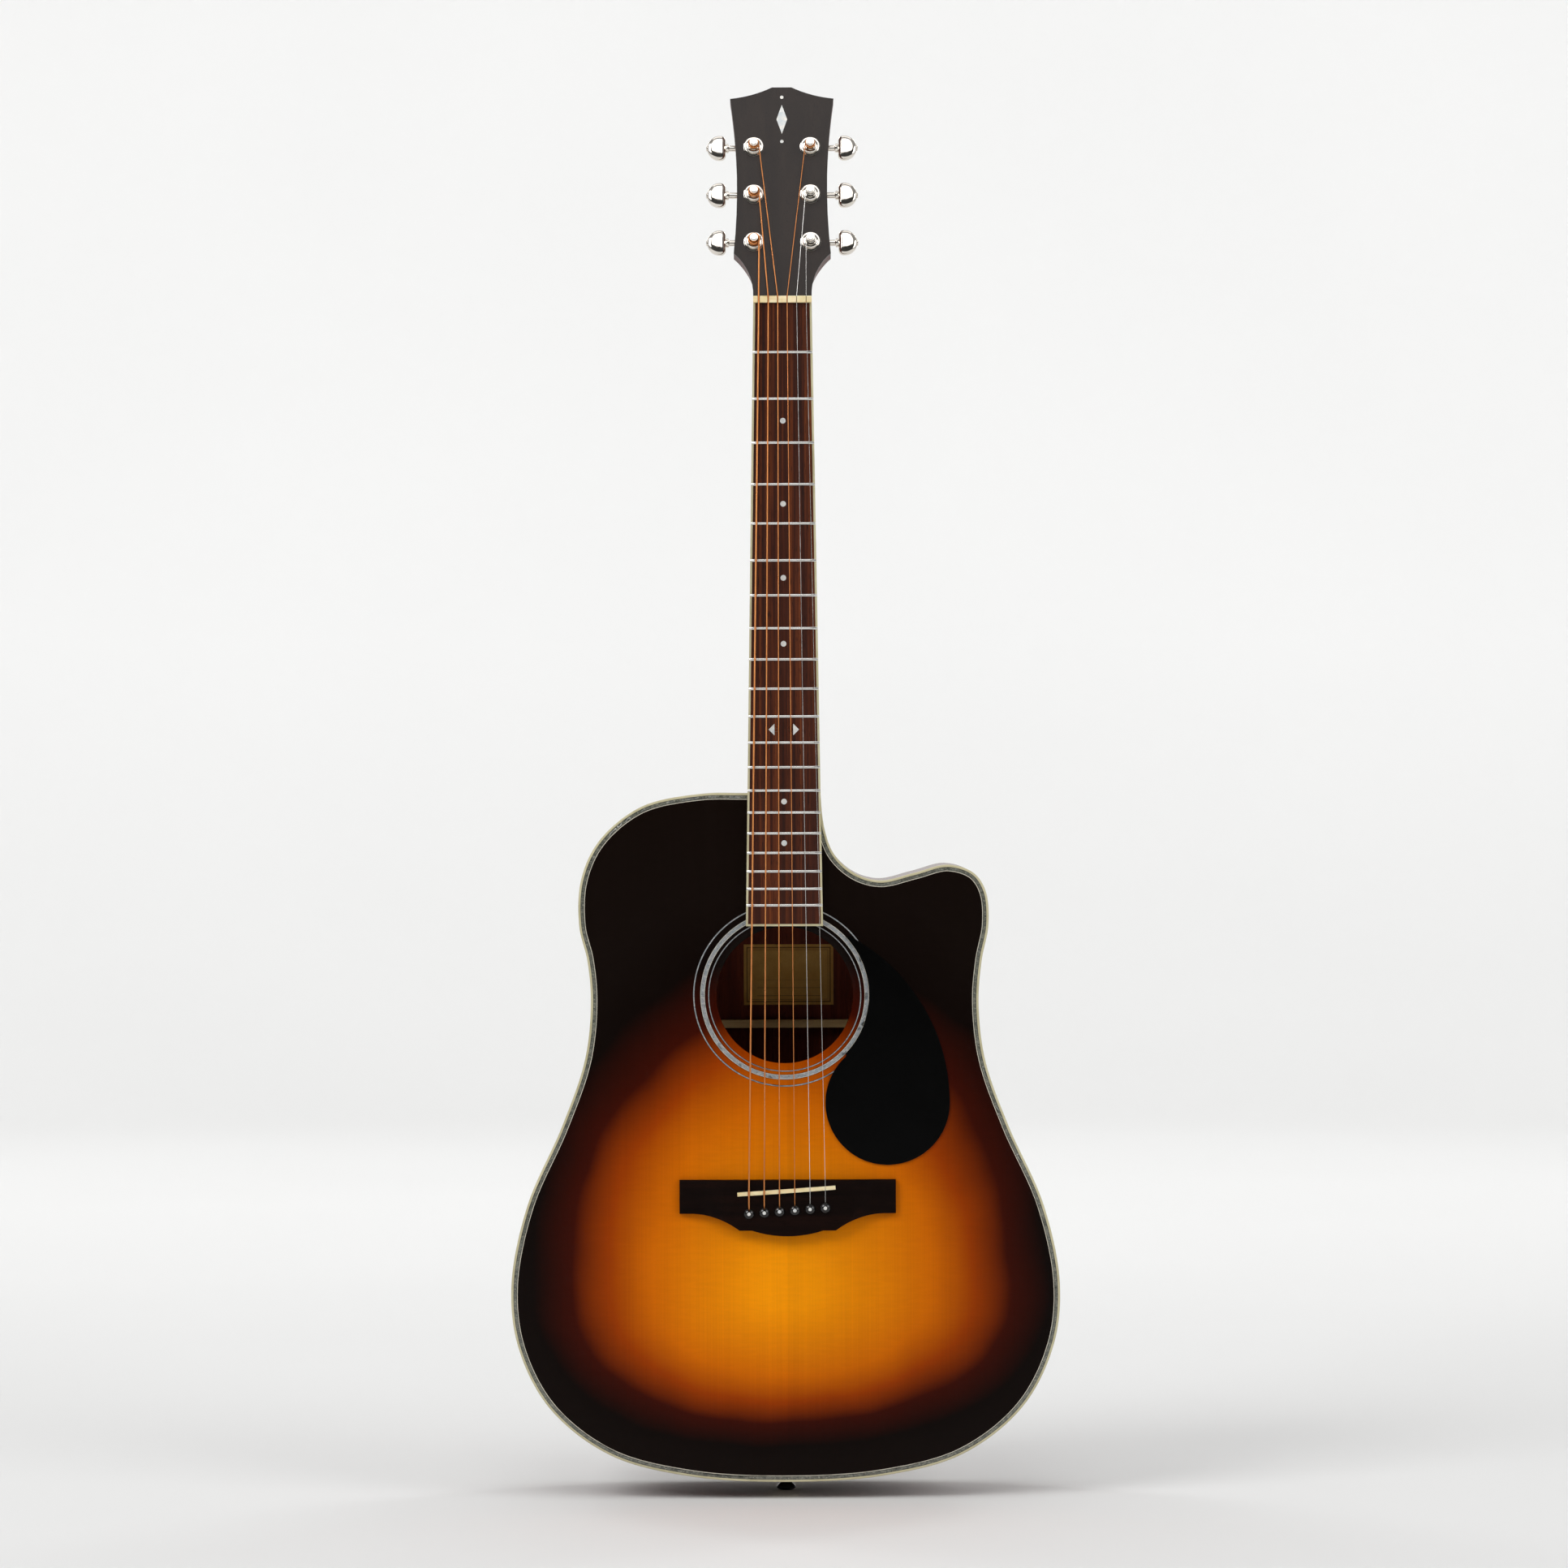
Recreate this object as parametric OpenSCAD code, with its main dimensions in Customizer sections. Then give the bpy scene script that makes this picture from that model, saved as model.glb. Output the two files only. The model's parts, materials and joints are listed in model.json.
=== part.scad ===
// Acoustic guitar of dreadnought size with a rounded cutaway, upright on its strap button.
// Millimetres. Z runs up the neck, the soundboard faces -Y, and the treble side is +X.
// Inside place(), y is the depth behind the soundboard's front face and z the height above the tail.

/* [Body] */
// Widest part of the lower bout
lower_bout = 406; // [400:1:412]
// Length of the body from the tail to the neck joint
body_l = 510; // [508:1:512]
// Depth of the body at the tail
depth_tail = 118; // [114:1:122]
// Depth of the body at the neck joint
depth_neck = 100; // [96:1:104]
// Thickness of the soundboard
top_t = 2.8; // [2.6:0.1:3]
// Thickness of the back
back_t = 2.5; // [2.2:0.1:3]
// Thickness of the sides
side_t = 2.2; // [2:0.1:2.6]
// Radius of the back's cross arch
back_r = 4572; // [4000:1:6096]
// Width of the binding
bind_w = 1.7; // [1.5:0.1:1.8]
// Height of the binding
bind_h = 6; // [5:0.5:6]

/* [Sound hole] */
// Radius of the sound hole
hole_r = 50.5; // [49:0.5:51]
// Height of the sound hole's centre above the tail
hole_z = 360.4; // [359:0.2:362]

/* [Scale and strings] */
// Scale length from the nut to the saddle
scale_l = 650; // [648:1:652]
// Spacing of the strings at the nut
nut_gap = 7; // [6.8:0.1:7.2]
// Spacing of the strings at the saddle and the pins
pin_gap = 11.28; // [11:0.02:11.5]

/* [Neck] */
// Width of the fretboard at the nut
nut_w = 43.3; // [43:0.1:44]
// Width of the fretboard at its body end
board_end_w = 57; // [56:0.5:58]
// Height of the fretboard's body end above the tail
board_end_z = 411.5; // [411:0.5:412]
// Height of the nut's front edge above the tail
nut_z = 872.2; // [871:0.2:873]
// Thickness of the fretboard
board_t = 6; // [5.5:0.1:6.5]
// Radius of the fretboard's crown
board_r = 400; // [350:10:450]
// Depth of the neck behind the fretboard at the nut
neck_d_nut = 14.5; // [14:0.1:15.5]
// Depth of the neck behind the fretboard at the body
neck_d_body = 17; // [16:0.1:18]

/* [Head] */
// Backward tilt of the head
head_tilt = 14; // [12:1:15]
// Thickness of the head's wood behind its veneer
head_t = 13.5; // [13:0.1:14]
// Thickness of the head veneer
veneer_t = 1.5; // [1.2:0.1:1.6]
// Distance of the tuner posts from the head's centre line
post_u = 21; // [20.5:0.1:21.5]
// Teeth on each tuner's gear, so button turns for one post turn
gear_teeth = 15; // [15:1:15]

/* [Hidden] */
$fn = 48;

// Where the soundboard's front face and the tail lie in the part's frame
board_y = -52;
tail_z = 13;

// Layers at the rim of the soundboard, as distances in from the outline
purf_in = 4.8;
purf_t = 1.5;
lining_w = 6;
lining_h = 14;
inner_edge = side_t + lining_w + 0.8;

// Blocks at the two ends of the body
neck_block_w = 72;
neck_block_z = 440;
tail_block_w = 76;
tail_block_t = 20;
graft_w = 16;

// Braces
x_cross_z = 285;
x_angle = 48;
x_brace_w = 8;
x_brace_h = 15;
transverse_z = 425;
plate_t = 2.5;
back_brace_heights = [120, 230, 335, 425];
back_brace_w = 6;
back_brace_h = 11;

// Bridge, saddle and pins
bridge_top_z = 224;
bridge_w = 160;
bridge_wing = 24.9;
bridge_h = 9;
bridge_x = 1.7;
pin_mid = [1.3, 201.3];
pin_slant = 4.3;
pin_r = 2.5;
pin_head_r = 3.9;
pin_head_h = 2.6;
pin_dot_r = 1.4;
saddle_mid = [0.8, 216];
saddle_l = 72.7;
saddle_t = 3;
saddle_tilt = 3.9;
saddle_proud = 2.6;

// Neck and head
nut_t = 5;
head_z = nut_z + nut_t;
board_binding = 1.6;
fret_count = 20;
fret_w = 2.2;
fret_h = 1.1;
tenon_w = [16, 22];
tenon_l = 15;
tenon_y = [bind_h, 72];
rod_y = 9.5;
rod_r = 2.5;
rod_nut_z = 428;
rod_nut_l = 10;
rod_nut_r = 4.5;

// Tuners, in the head's frame: u across, v up the head, w back into the wood
post_heights = [42.4, 79.9, 117.3, 117.3, 79.9, 42.4];
post_r = 3;
post_front = 12;
sleeve_r = 5;
worm_offset = 6;
worm_w = head_t + 4.4;
worm_l = 5;
worm_lead = PI * 0.5;
gear_w = 1.6;
button_in = 21;
wrap_w = 8.2;

// Strings from bass to treble: radius of each
string_radii = [0.67, 0.53, 0.41, 0.31, 0.2, 0.15];
nut_action = 7.4;

module place() {
    translate([0, board_y, tail_z]) children();
}

// ---------------------------------------------------------------- outline of the body
// A smooth curve through points: slope at b between a and c, then point and direction in b-c
function knot(a, b) = sqrt(norm(b - a));
function slope(a, b, c) =
    (c - b) / knot(b, c) - (c - a) / (knot(a, b) + knot(b, c)) + (b - a) / knot(a, b);
function curve_point(p, t) =
    let (k = knot(p[1], p[2]))
    let (m = slope(p[0], p[1], p[2]) * k)
    let (n = slope(p[1], p[2], p[3]) * k)
    (2 * t^3 - 3 * t^2 + 1) * p[1] + (t^3 - 2 * t^2 + t) * m
    + (3 * t^2 - 2 * t^3) * p[2] + (t^3 - t^2) * n;
function curve_heading(p, t) =
    let (k = knot(p[1], p[2]))
    let (m = slope(p[0], p[1], p[2]) * k)
    let (n = slope(p[1], p[2], p[3]) * k)
    (6 * t^2 - 6 * t) * p[1] + (3 * t^2 - 4 * t + 1) * m
    + (6 * t - 6 * t^2) * p[2] + (3 * t^2 - 2 * t) * n;
function mirrored(points) = [for (i = [len(points) - 1:-1:0]) [-points[i][0], points[i][1]]];

// Half width and height on both sides, from beside the tail to above the waist
lower_half = [
    [72, 4.5], [131, 20.5], [175, 55], [198, 100], [203, 146], [191, 205], [165, 264],
    [148, 313], [143.5, 355], [146, 386]
];
// The bass shoulder, up to the neck
bass_shoulder = [[152, 412], [150.5, 446], [137, 475], [106, 500], [62, 509.5], [30, 510]];
// The treble horn and the cutaway, up to the neck
cutaway_x = 27;
treble_horn = [
    [151, 412], [149, 437], [140, 450.5], [121, 456.5], [96, 450.5], [71, 445], [52, 450.5],
    [37, 464.5], [30, 483], [cutaway_x, 510]
];
rim_points = [
    for (p = concat([[10, 510]], mirrored(bass_shoulder), mirrored(lower_half), [[0, 0]],
        lower_half, treble_horn, [[cutaway_x, 540]]))
    [p[0] * lower_bout / 406, p[1] * body_l / 510]
];
span_steps = 4;
function turned(h) = [-h[1], h[0]] / norm(h);
// Every station on the rim with its direction towards the inside
rim = [
    for (i = [0:len(rim_points) - 4]) for (j = [0:span_steps - 1])
    let (four = [for (n = [0:3]) rim_points[i + n]])
    [curve_point(four, j / span_steps), turned(curve_heading(four, j / span_steps))]
];
corner_x = cutaway_x * lower_bout / 406;
// The outline moved in by d, closed by the straight edge at the neck
function outline(d) = concat(
    [for (s = rim) let (q = s[0] + d * s[1])
        if (q[0] < 0 || q[1] < body_l - d - 0.5) [q[0], min(q[1], body_l - d)]],
    [[corner_x - d, body_l - d]]
);

// A plate of the outline's shape, and a ring between two distances in from it
module slab(d, y0, y1) {
    translate([0, y1, 0]) rotate([90, 0, 0]) linear_extrude(y1 - y0) polygon(outline(d));
}
module ring(d0, d1, y0, y1) {
    translate([0, y1, 0]) rotate([90, 0, 0]) linear_extrude(y1 - y0) difference() {
        polygon(outline(d0));
        polygon(outline(d1));
    }
}
// Everything in front of the arched, tapered back, moved in by d
module back_form(d) {
    translate([0, depth_tail, 0]) rotate([atan((depth_tail - depth_neck) / body_l), 0, 0])
        translate([0, -back_r, -60]) rotate([0, 0, 90])
            cylinder(r = back_r - d, h = 700, $fn = 256);
}
// A round bar along y, and a block between two corners
module peg(x, z, r, y0, y1) {
    translate([x, y0, z]) rotate([-90, 0, 0]) cylinder(r = r, h = y1 - y0);
}
module block(a, b) {
    translate(a) cube(b - a);
}
// A flat shape in x and z, spread through y
module sheet(y0, y1) {
    translate([0, y1, 0]) rotate([90, 0, 0]) linear_extrude(y1 - y0) children();
}

// ---------------------------------------------------------------- strings
function pin_at(i) = pin_mid + (i - 2.5) * [pin_gap, pin_gap * tan(pin_slant)];
function saddle_at(i) = let (x = pin_at(i)[0])
    [x, saddle_mid[1] + (x - saddle_mid[0]) * tan(saddle_tilt)];
function nut_x(i) = (i - 2.5) * nut_gap;
function crown(x) = x^2 / (2 * board_r);
function crest(x) = bridge_h + saddle_proud - crown(x);
function head_point(u, v, w) = [
    u,
    v * sin(head_tilt) + w * cos(head_tilt),
    head_z + v * cos(head_tilt) - w * sin(head_tilt)
];
function post_side(i) = i < 3 ? -1 : 1;
function post_at(i) = [post_side(i) * post_u, post_heights[i]];
function wrap_r(i) = post_r + string_radii[i] + 0.2;
// Angle at which a line from the nut touches the wraps on the inner side of its post
function touch_angle(i) =
    let (away = [nut_x(i), 1] - post_at(i))
    atan2(away[1], away[0]) - post_side(i) * acos(wrap_r(i) / norm(away));
// The wraps climb towards the head's face, away from the string above them
wrap_turns = 2.5;
wrap_steps = 10;
function wraps(i) = [
    for (k = [0:wrap_turns * wrap_steps])
    let (a = touch_angle(i) - post_side(i) * 360 * k / wrap_steps)
    let (down = 2.3 * string_radii[i] * k / wrap_steps)
    let (p = post_at(i) + wrap_r(i) * [cos(a), sin(a)])
    head_point(p[0], p[1], -veneer_t - wrap_w + down)
];
// From the ball under the bridge, over the saddle and the nut, and round the post
function string_path(i) =
    let (r = string_radii[i])
    let (pin = pin_at(i))
    let (saddle = saddle_at(i))
    let (at_nut = nut_action - crown(nut_x(i)) + r)
    concat([
        [pin[0], top_t + plate_t + 2.5, pin[1] + pin_r],
        [pin[0], 0.5 - bridge_h, pin[1] + pin_r],
        [saddle[0], -crest(saddle[0]) - r, saddle[1]],
        [nut_x(i), -at_nut, nut_z + 0.3],
        [nut_x(i), -at_nut, nut_z + nut_t]
    ], wraps(i));
function unit(v) = v / norm(v);
// A round tube along a list of points, its rings square to the way between their neighbours
tube_sides = 8;
module tube(points, r) {
    last = len(points) - 1;
    ways = [for (i = [0:last]) unit(points[min(i + 1, last)] - points[max(i - 1, 0)])];
    rings = [for (i = [0:last])
        let (across = unit(cross(ways[i], [0.13, 0.31, 0.95])))
        let (up = cross(across, ways[i]))
        for (k = [0:tube_sides - 1]) let (a = 360 * k / tube_sides)
            points[i] + r * (cos(a) * across + sin(a) * up)];
    polyhedron(rings, concat(
        [[for (k = [tube_sides - 1:-1:0]) k]],
        [[for (k = [0:tube_sides - 1]) last * tube_sides + k]],
        [for (i = [0:last - 1]) for (k = [0:tube_sides - 1])
            let (n = (k + 1) % tube_sides)
            [i * tube_sides + k, i * tube_sides + n, (i + 1) * tube_sides + n,
                (i + 1) * tube_sides + k]]
    ));
}
module string_solid(i) {
    path = string_path(i);
    tube(path, string_radii[i]);
    translate(path[0]) rotate([0, 90, 0]) cylinder(r = 1.9, h = 3, center = true);
}
// Room for the strings beside the bridge pins and above the bridge
module string_room() {
    for (i = [0:5]) {
        r = string_radii[i] + 0.15;
        x = pin_at(i)[0];
        z = pin_at(i)[1] + pin_r;
        peg(x, z, r, -20, 12);
        block([x - r, -20, z], [x + r, 1.5 - bridge_h, z + 5]);
    }
}
// Open slots in the nut and shallow notches in the saddle
module nut_slots() {
    for (i = [0:5]) {
        r = string_radii[i] + 0.1;
        y = crown(nut_x(i)) - nut_action - string_radii[i];
        translate([nut_x(i), y, nut_z - 1]) cylinder(r = r, h = nut_t + 2);
        block([nut_x(i) - r, -20, nut_z - 1], [nut_x(i) + r, y, nut_z + nut_t + 1]);
    }
}
module saddle_notches() {
    for (i = [0:5]) {
        r = string_radii[i] + 0.1;
        x = saddle_at(i)[0];
        block([x - r, -20, saddle_mid[1] - 9], [x + r, 0.55 - crest(x), saddle_mid[1] + 9]);
    }
}
module wound_strings() color("peru") place() for (i = [0:3]) string_solid(i);
module plain_strings() color("silver") place() for (i = [4:5]) string_solid(i);

// ---------------------------------------------------------------- soundboard and body shell
module pin_holes(y0, y1) {
    for (i = [0:5]) peg(pin_at(i)[0], pin_at(i)[1], pin_r, y0, y1);
}
module rosette_shape(y0, y1) {
    for (band = rosette_bands) difference() {
        peg(0, hole_z, band[1], y0, y1);
        peg(0, hole_z, band[0], y0 - 1, y1 + 1);
    }
}
module soundboard() color("darkorange") place() difference() {
    slab(bind_w, 0, top_t);
    ring(bind_w, purf_in, -1, purf_t);
    peg(0, hole_z, hole_r, -1, top_t + 1);
    rosette_shape(-1, 1);
    pin_holes(-1, top_t + 1);
    string_room();
}
module purfling() color("gainsboro") place() ring(bind_w, purf_in, 0, purf_t);
module binding_top() color("ivory") place() ring(0, bind_w, 0, bind_h);
module binding_back() color("ivory") place() difference() {
    intersection() {
        ring(0, bind_w, 80, 130);
        back_form(0);
    }
    back_form(bind_h);
}
module rosette() color("lightgray") place() rosette_shape(0, 1);
module back_plate() color("saddlebrown") place() difference() {
    intersection() {
        slab(bind_w, 80, 130);
        back_form(0);
    }
    back_form(back_t);
}
// The bent side wall, rebated at both edges for the binding
module side_wall() difference() {
    intersection() {
        ring(0, side_t, top_t, 130);
        back_form(back_t);
    }
    slab_rebate();
}
module slab_rebate() {
    ring(-1, bind_w, -1, bind_h);
    difference() {
        ring(-1, bind_w, 80, 131);
        back_form(bind_h);
    }
}
module tenon_shape() {
    sheet(tenon_y[0], tenon_y[1]) polygon([
        [-tenon_w[0] / 2, body_l], [tenon_w[0] / 2, body_l],
        [tenon_w[1] / 2, body_l - tenon_l], [-tenon_w[1] / 2, body_l - tenon_l]
    ]);
}
module rod_bore() {
    translate([0, rod_y, neck_block_z - 40]) cylinder(r = rod_r + 0.5, h = body_l - neck_block_z + 42);
}
module pin_bore() {
    translate([0, (depth_tail + top_t) / 2, -1]) cylinder(r = 4, h = tail_block_t + 10);
}
module graft_box() block([-graft_w / 2, -1, -5], [graft_w / 2, 131, 20]);
module side_half(s) difference() {
    intersection() {
        side_wall();
        block([s < 0 ? -250 : 0, -1, -5], [s < 0 ? 0 : 250, 131, body_l + 5]);
    }
    graft_box();
    tenon_shape();
    rod_bore();
}
module side_bass() color("brown") place() side_half(-1);
module side_treble() color("brown") place() side_half(1);
module end_graft() color("ivory") place() difference() {
    intersection() {
        side_wall();
        graft_box();
    }
    pin_bore();
}
module neck_block() color("burlywood") place() difference() {
    intersection() {
        slab(side_t, top_t, 130);
        block([-neck_block_w / 2, 0, neck_block_z], [neck_block_w / 2, 130, body_l]);
        back_form(back_t);
    }
    tenon_shape();
    rod_bore();
}
module tail_block() color("burlywood") place() difference() {
    intersection() {
        slab(side_t, top_t, 130);
        block([-tail_block_w / 2, 0, 0], [tail_block_w / 2, 130, side_t + tail_block_t]);
        back_form(back_t);
    }
    pin_bore();
}
module block_room() {
    block([-neck_block_w / 2, 0, neck_block_z], [neck_block_w / 2, 130, body_l]);
    block([-tail_block_w / 2, 0, 0], [tail_block_w / 2, 130, side_t + tail_block_t]);
}
module lining_top() color("wheat") place() difference() {
    ring(side_t, side_t + lining_w, top_t, top_t + lining_h);
    block_room();
}
module lining_back() color("wheat") place() difference() {
    intersection() {
        ring(side_t, side_t + lining_w, 70, 130);
        back_form(back_t);
    }
    back_form(back_t + lining_h);
    block_room();
}

// ---------------------------------------------------------------- braces, plate and label
// A bar glued under the soundboard, its ends tapered to end_h
module brace(x, z, angle, l, w, h, end_h = 2, taper = 30) {
    translate([x, top_t, z]) rotate([0, angle, 0]) translate([-w / 2, 0, 0])
        rotate([90, 0, 90]) linear_extrude(w) polygon([
            [0, -l / 2], [0, l / 2], [end_h, l / 2],
            [h, l / 2 - taper], [h, taper - l / 2], [end_h, -l / 2]
        ]);
}
module x_bar(angle, notch_y) difference() {
    lower = 262;
    upper = 185;
    offset = (upper - lower) / 2;
    intersection() {
        brace(offset * sin(angle), x_cross_z + offset * cos(angle), angle, upper + lower,
            x_brace_w, x_brace_h, 3, 70);
        slab(inner_edge, 0, 60);
    }
    translate([0, notch_y, x_cross_z]) rotate([0, -angle, 0])
        block([-x_brace_w / 2 - 0.05, -0.05, -20], [x_brace_w / 2 + 0.05, x_brace_h, 20]);
}
module x_brace() color("moccasin") place() {
    x_bar(x_angle, top_t + x_brace_h / 2);
    x_bar(-x_angle, top_t - x_brace_h / 2);
}
module transverse_brace() color("moccasin") place() difference() {
    intersection() {
        brace(0, transverse_z, 90, 300, 12, 14, 4, 50);
        slab(inner_edge, 0, 60);
    }
    translate([0, rod_y, transverse_z - 20]) cylinder(r = rod_nut_r + 0.8, h = 40);
}
module tone_bars() color("moccasin") place() {
    brace(10, 140, 62, 170, 7, 11);
    brace(-5, 85, 62, 180, 7, 11);
}
module finger_braces() color("moccasin") place() for (s = [-1, 1]) {
    brace(s * 121, 228.5, s * 42, 62, 6, 7, 2, 20);
    brace(s * 158, 186, s * 42, 40, 6, 6, 2, 15);
}
module sound_hole_braces() color("moccasin") place() for (s = [-1, 1])
    brace(s * 60, 384, 0, 60, 5, 6, 2, 15);
module bridge_plate() color("tan") place() difference() {
    translate([bridge_x, 0, 0]) sheet(top_t, top_t + plate_t)
        polygon([[-64, 215], [64, 215], [76, 181], [-76, 181]]);
    pin_holes(0, 10);
    string_room();
}
module back_braces() color("moccasin") place() for (z = back_brace_heights) difference() {
    intersection() {
        slab(inner_edge, 70, 130);
        block([-250, 70, z - back_brace_w / 2], [250, 130, z + back_brace_w / 2]);
        back_form(back_t);
    }
    back_form(back_t + back_brace_h);
}
// Cross-grain strip over the back's centre seam, in the bays between the braces below the label
module back_strip() color("sienna") place() for (bay = [[24, 117], [123, 227], [233, 332]])
    difference() {
        intersection() {
            block([-9, 70, bay[0]], [9, 130, bay[1]]);
            back_form(back_t);
        }
        back_form(back_t + 1.6);
    }
module label() color("lemonchiffon") place() difference() {
    intersection() {
        block([-31, 70, 349], [37, 130, 395]);
        back_form(back_t);
    }
    back_form(back_t + 0.3);
}

// ---------------------------------------------------------------- pickguard, bridge, pins
// A teardrop: a round lower end, and a long arc up to a tip beside the rosette
guard_t = 1.2;
guard_mid = [75.9, 280.6];
guard_r = 46;
guard_arc_r = 139.4;
rosette_bands = [[56, 56.6], [59.2, 62.4], [66.9, 67.7]];
module pickguard() color("black") place() sheet(-guard_t, 0) difference() {
    union() {
        translate(guard_mid) circle(r = guard_r);
        intersection() {
            translate([-17.6, guard_mid[1] + 0.4]) circle(r = guard_arc_r, $fn = 96);
            translate([45.2, guard_mid[1] + 0.4]) square([90, 122.5]);
        }
    }
    translate([0, hole_z]) circle(r = rosette_bands[1][1]);
}
bridge_hip = 72;
bridge_hip_h = 37.2;
bridge_hollow_r = 60;
bridge_belly_r = 84;
bridge_belly_h = 41.4;
bridge_belly_half = 28.3;
module bridge_outline() translate([bridge_x, bridge_top_z]) {
    translate([-bridge_w / 2, -bridge_wing]) square([bridge_w, bridge_wing]);
    difference() {
        translate([-bridge_hip, -bridge_hip_h]) square([2 * bridge_hip, bridge_hip_h]);
        for (s = [-1, 1]) translate([s * bridge_hip, -bridge_wing - bridge_hollow_r])
            circle(r = bridge_hollow_r, $fn = 96);
    }
    intersection() {
        translate([0, bridge_belly_r - bridge_belly_h]) circle(r = bridge_belly_r, $fn = 96);
        translate([-bridge_belly_half, -50]) square([2 * bridge_belly_half, 40]);
    }
}
module saddle_blank() translate([saddle_mid[0], 0, saddle_mid[1]]) rotate([0, -saddle_tilt, 0])
    block([-saddle_l / 2, -bridge_h - 6, -saddle_t / 2], [saddle_l / 2, -bridge_h + 5, saddle_t / 2]);
module bridge() color([0.13, 0.09, 0.07]) place() difference() {
    intersection() {
        sheet(-bridge_h, 0) bridge_outline();
        translate([bridge_x, 0, 170]) linear_extrude(60) polygon([
            [-80, 0], [-80, -4], [-62, -5], [-47, -bridge_h],
            [47, -bridge_h], [62, -5], [80, -4], [80, 0]
        ]);
    }
    saddle_blank();
    pin_holes(-20, 5);
    string_room();
}
module saddle() color("ivory") place() difference() {
    intersection() {
        saddle_blank();
        translate([0, board_r - bridge_h - saddle_proud, 150])
            cylinder(r = board_r, h = 100, $fn = 256);
    }
    saddle_notches();
}
module bridge_pins() color("black") place() difference() {
    for (i = [0:5]) {
        pin = pin_at(i);
        peg(pin[0], pin[1], pin_r, -bridge_h, top_t + plate_t + 0.3);
        intersection() {
            peg(pin[0], pin[1], pin_head_r, -bridge_h - pin_head_h, -bridge_h);
            translate([pin[0], -bridge_h + 1.8, pin[1]]) sphere(r = 4.7);
        }
    }
    string_room();
    dot_pins(-20);
}
module dot_pins(front) for (i = [0:5])
    peg(pin_at(i)[0], pin_at(i)[1], pin_dot_r, front, -bridge_h - pin_head_h + 0.6);
module pin_dots() color("white") place() dot_pins(-bridge_h - pin_head_h);
module end_pin() color("black") place() translate([0, (depth_tail + top_t) / 2, 0])
    rotate_extrude() polygon([
        [0, -13], [5.5, -13], [7, -11.8], [7, -10.4], [4.6, -8], [4, -5.5], [4.4, -3],
        [6, -1.2], [6, 0], [4, 0], [4, 20], [0, 20]
    ]);

// ---------------------------------------------------------------- neck
function board_half(z) =
    (nut_w + (board_end_w - nut_w) * (nut_z - z) / (nut_z - board_end_z)) / 2;
function arc_r(half, depth) = (half^2 + depth^2) / (2 * depth);
// The round back of the neck: a cone whose front is cut off by the fretboard's underside
module neck_cone() {
    low = [board_half(body_l), neck_d_body];
    high = [board_half(nut_z), neck_d_nut];
    r_low = arc_r(low[0], low[1]);
    r_high = arc_r(high[0], high[1]);
    y_low = low[1] - r_low;
    y_high = high[1] - r_high;
    length = nut_z - body_l;
    grow = 30 / length;
    intersection() {
        translate([0, y_low, body_l]) rotate([atan((y_low - y_high) / length), 0, 0])
            cylinder(r1 = r_low, r2 = r_high + (r_high - r_low) * grow,
                h = length + 30, $fn = 96);
        block([-40, 0, body_l], [40, 40, nut_z + 30]);
    }
}
module neck_shaft() color([0.36, 0.16, 0.08]) place() difference() {
    neck_cone();
    on_head() block([-60, -40, 0], [60, 60, 60]);
    rod_room();
}
module rod_room() {
    block([-3, -1, body_l - 1], [3, 9, 862]);
    block([-3, -1, body_l - 1], [3, 12.5, body_l + 14]);
}
// The heel narrows towards the back and curves into the neck
heel_steps = 9;
heel_front = 3;
module heel_body() {
    depth = depth_neck - 2.2;
    function half(t) = 26.6 - 14.6 * t^0.8;
    function reach(t) = 16 + 28 * (1 - t)^2.2;
    sections = [for (i = [0:heel_steps]) let (t = i / heel_steps)
        [for (a = [0:12:180]) [half(t) * cos(a), t * depth, body_l + reach(t) * sin(a)]]];
    count = len(sections[0]);
    polyhedron(
        points = [for (s = sections) for (p = s) p],
        faces = concat(
            [[for (i = [count - 1:-1:0]) i]],
            [[for (i = [0:count - 1]) heel_steps * count + i]],
            [for (s = [0:heel_steps - 1]) for (i = [0:count - 1])
                let (n = (i + 1) % count) [s * count + i, s * count + n, (s + 1) * count + i]],
            [for (s = [0:heel_steps - 1]) for (i = [0:count - 1])
                let (n = (i + 1) % count)
                [s * count + n, (s + 1) * count + n, (s + 1) * count + i]]
        )
    );
}
module heel() color([0.36, 0.16, 0.08]) place() difference() {
    union() {
        difference() {
            heel_body();
            neck_cone();
            block([-60, -5, body_l - 1], [60, heel_front, body_l + 80]);
        }
        tenon_shape();
    }
    rod_bore();
}
module heel_cap() color("ivory") place()
    sheet(depth_neck - 2.2, depth_neck - 0.2) intersection() {
        translate([0, body_l]) scale([1, 16 / 12]) circle(r = 12);
        translate([-20, body_l]) square([40, 30]);
    }
module truss_rod() color("silver") place() {
    block([-3, 0, body_l + 2], [3, 9, 862]);
    block([-3, 0, body_l + 2], [3, 12.5, body_l + 14]);
    translate([0, rod_y, rod_nut_z + 5]) cylinder(r = rod_r, h = body_l - rod_nut_z);
}
module truss_nut() color("goldenrod") place() translate([0, rod_y, rod_nut_z]) difference() {
    cylinder(r = rod_nut_r, h = rod_nut_l);
    translate([0, 0, 4]) cylinder(r = rod_r + 0.1, h = rod_nut_l);
    translate([0, 0, -1]) cylinder(r = 2.4, h = 6, $fn = 6);
}

// ---------------------------------------------------------------- fretboard
module board_plan(inset) polygon([
    [-board_half(board_end_z) + inset, board_end_z + inset],
    [board_half(board_end_z) - inset, board_end_z + inset],
    [board_half(nut_z) - inset, nut_z], [-board_half(nut_z) + inset, nut_z]
]);
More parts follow.
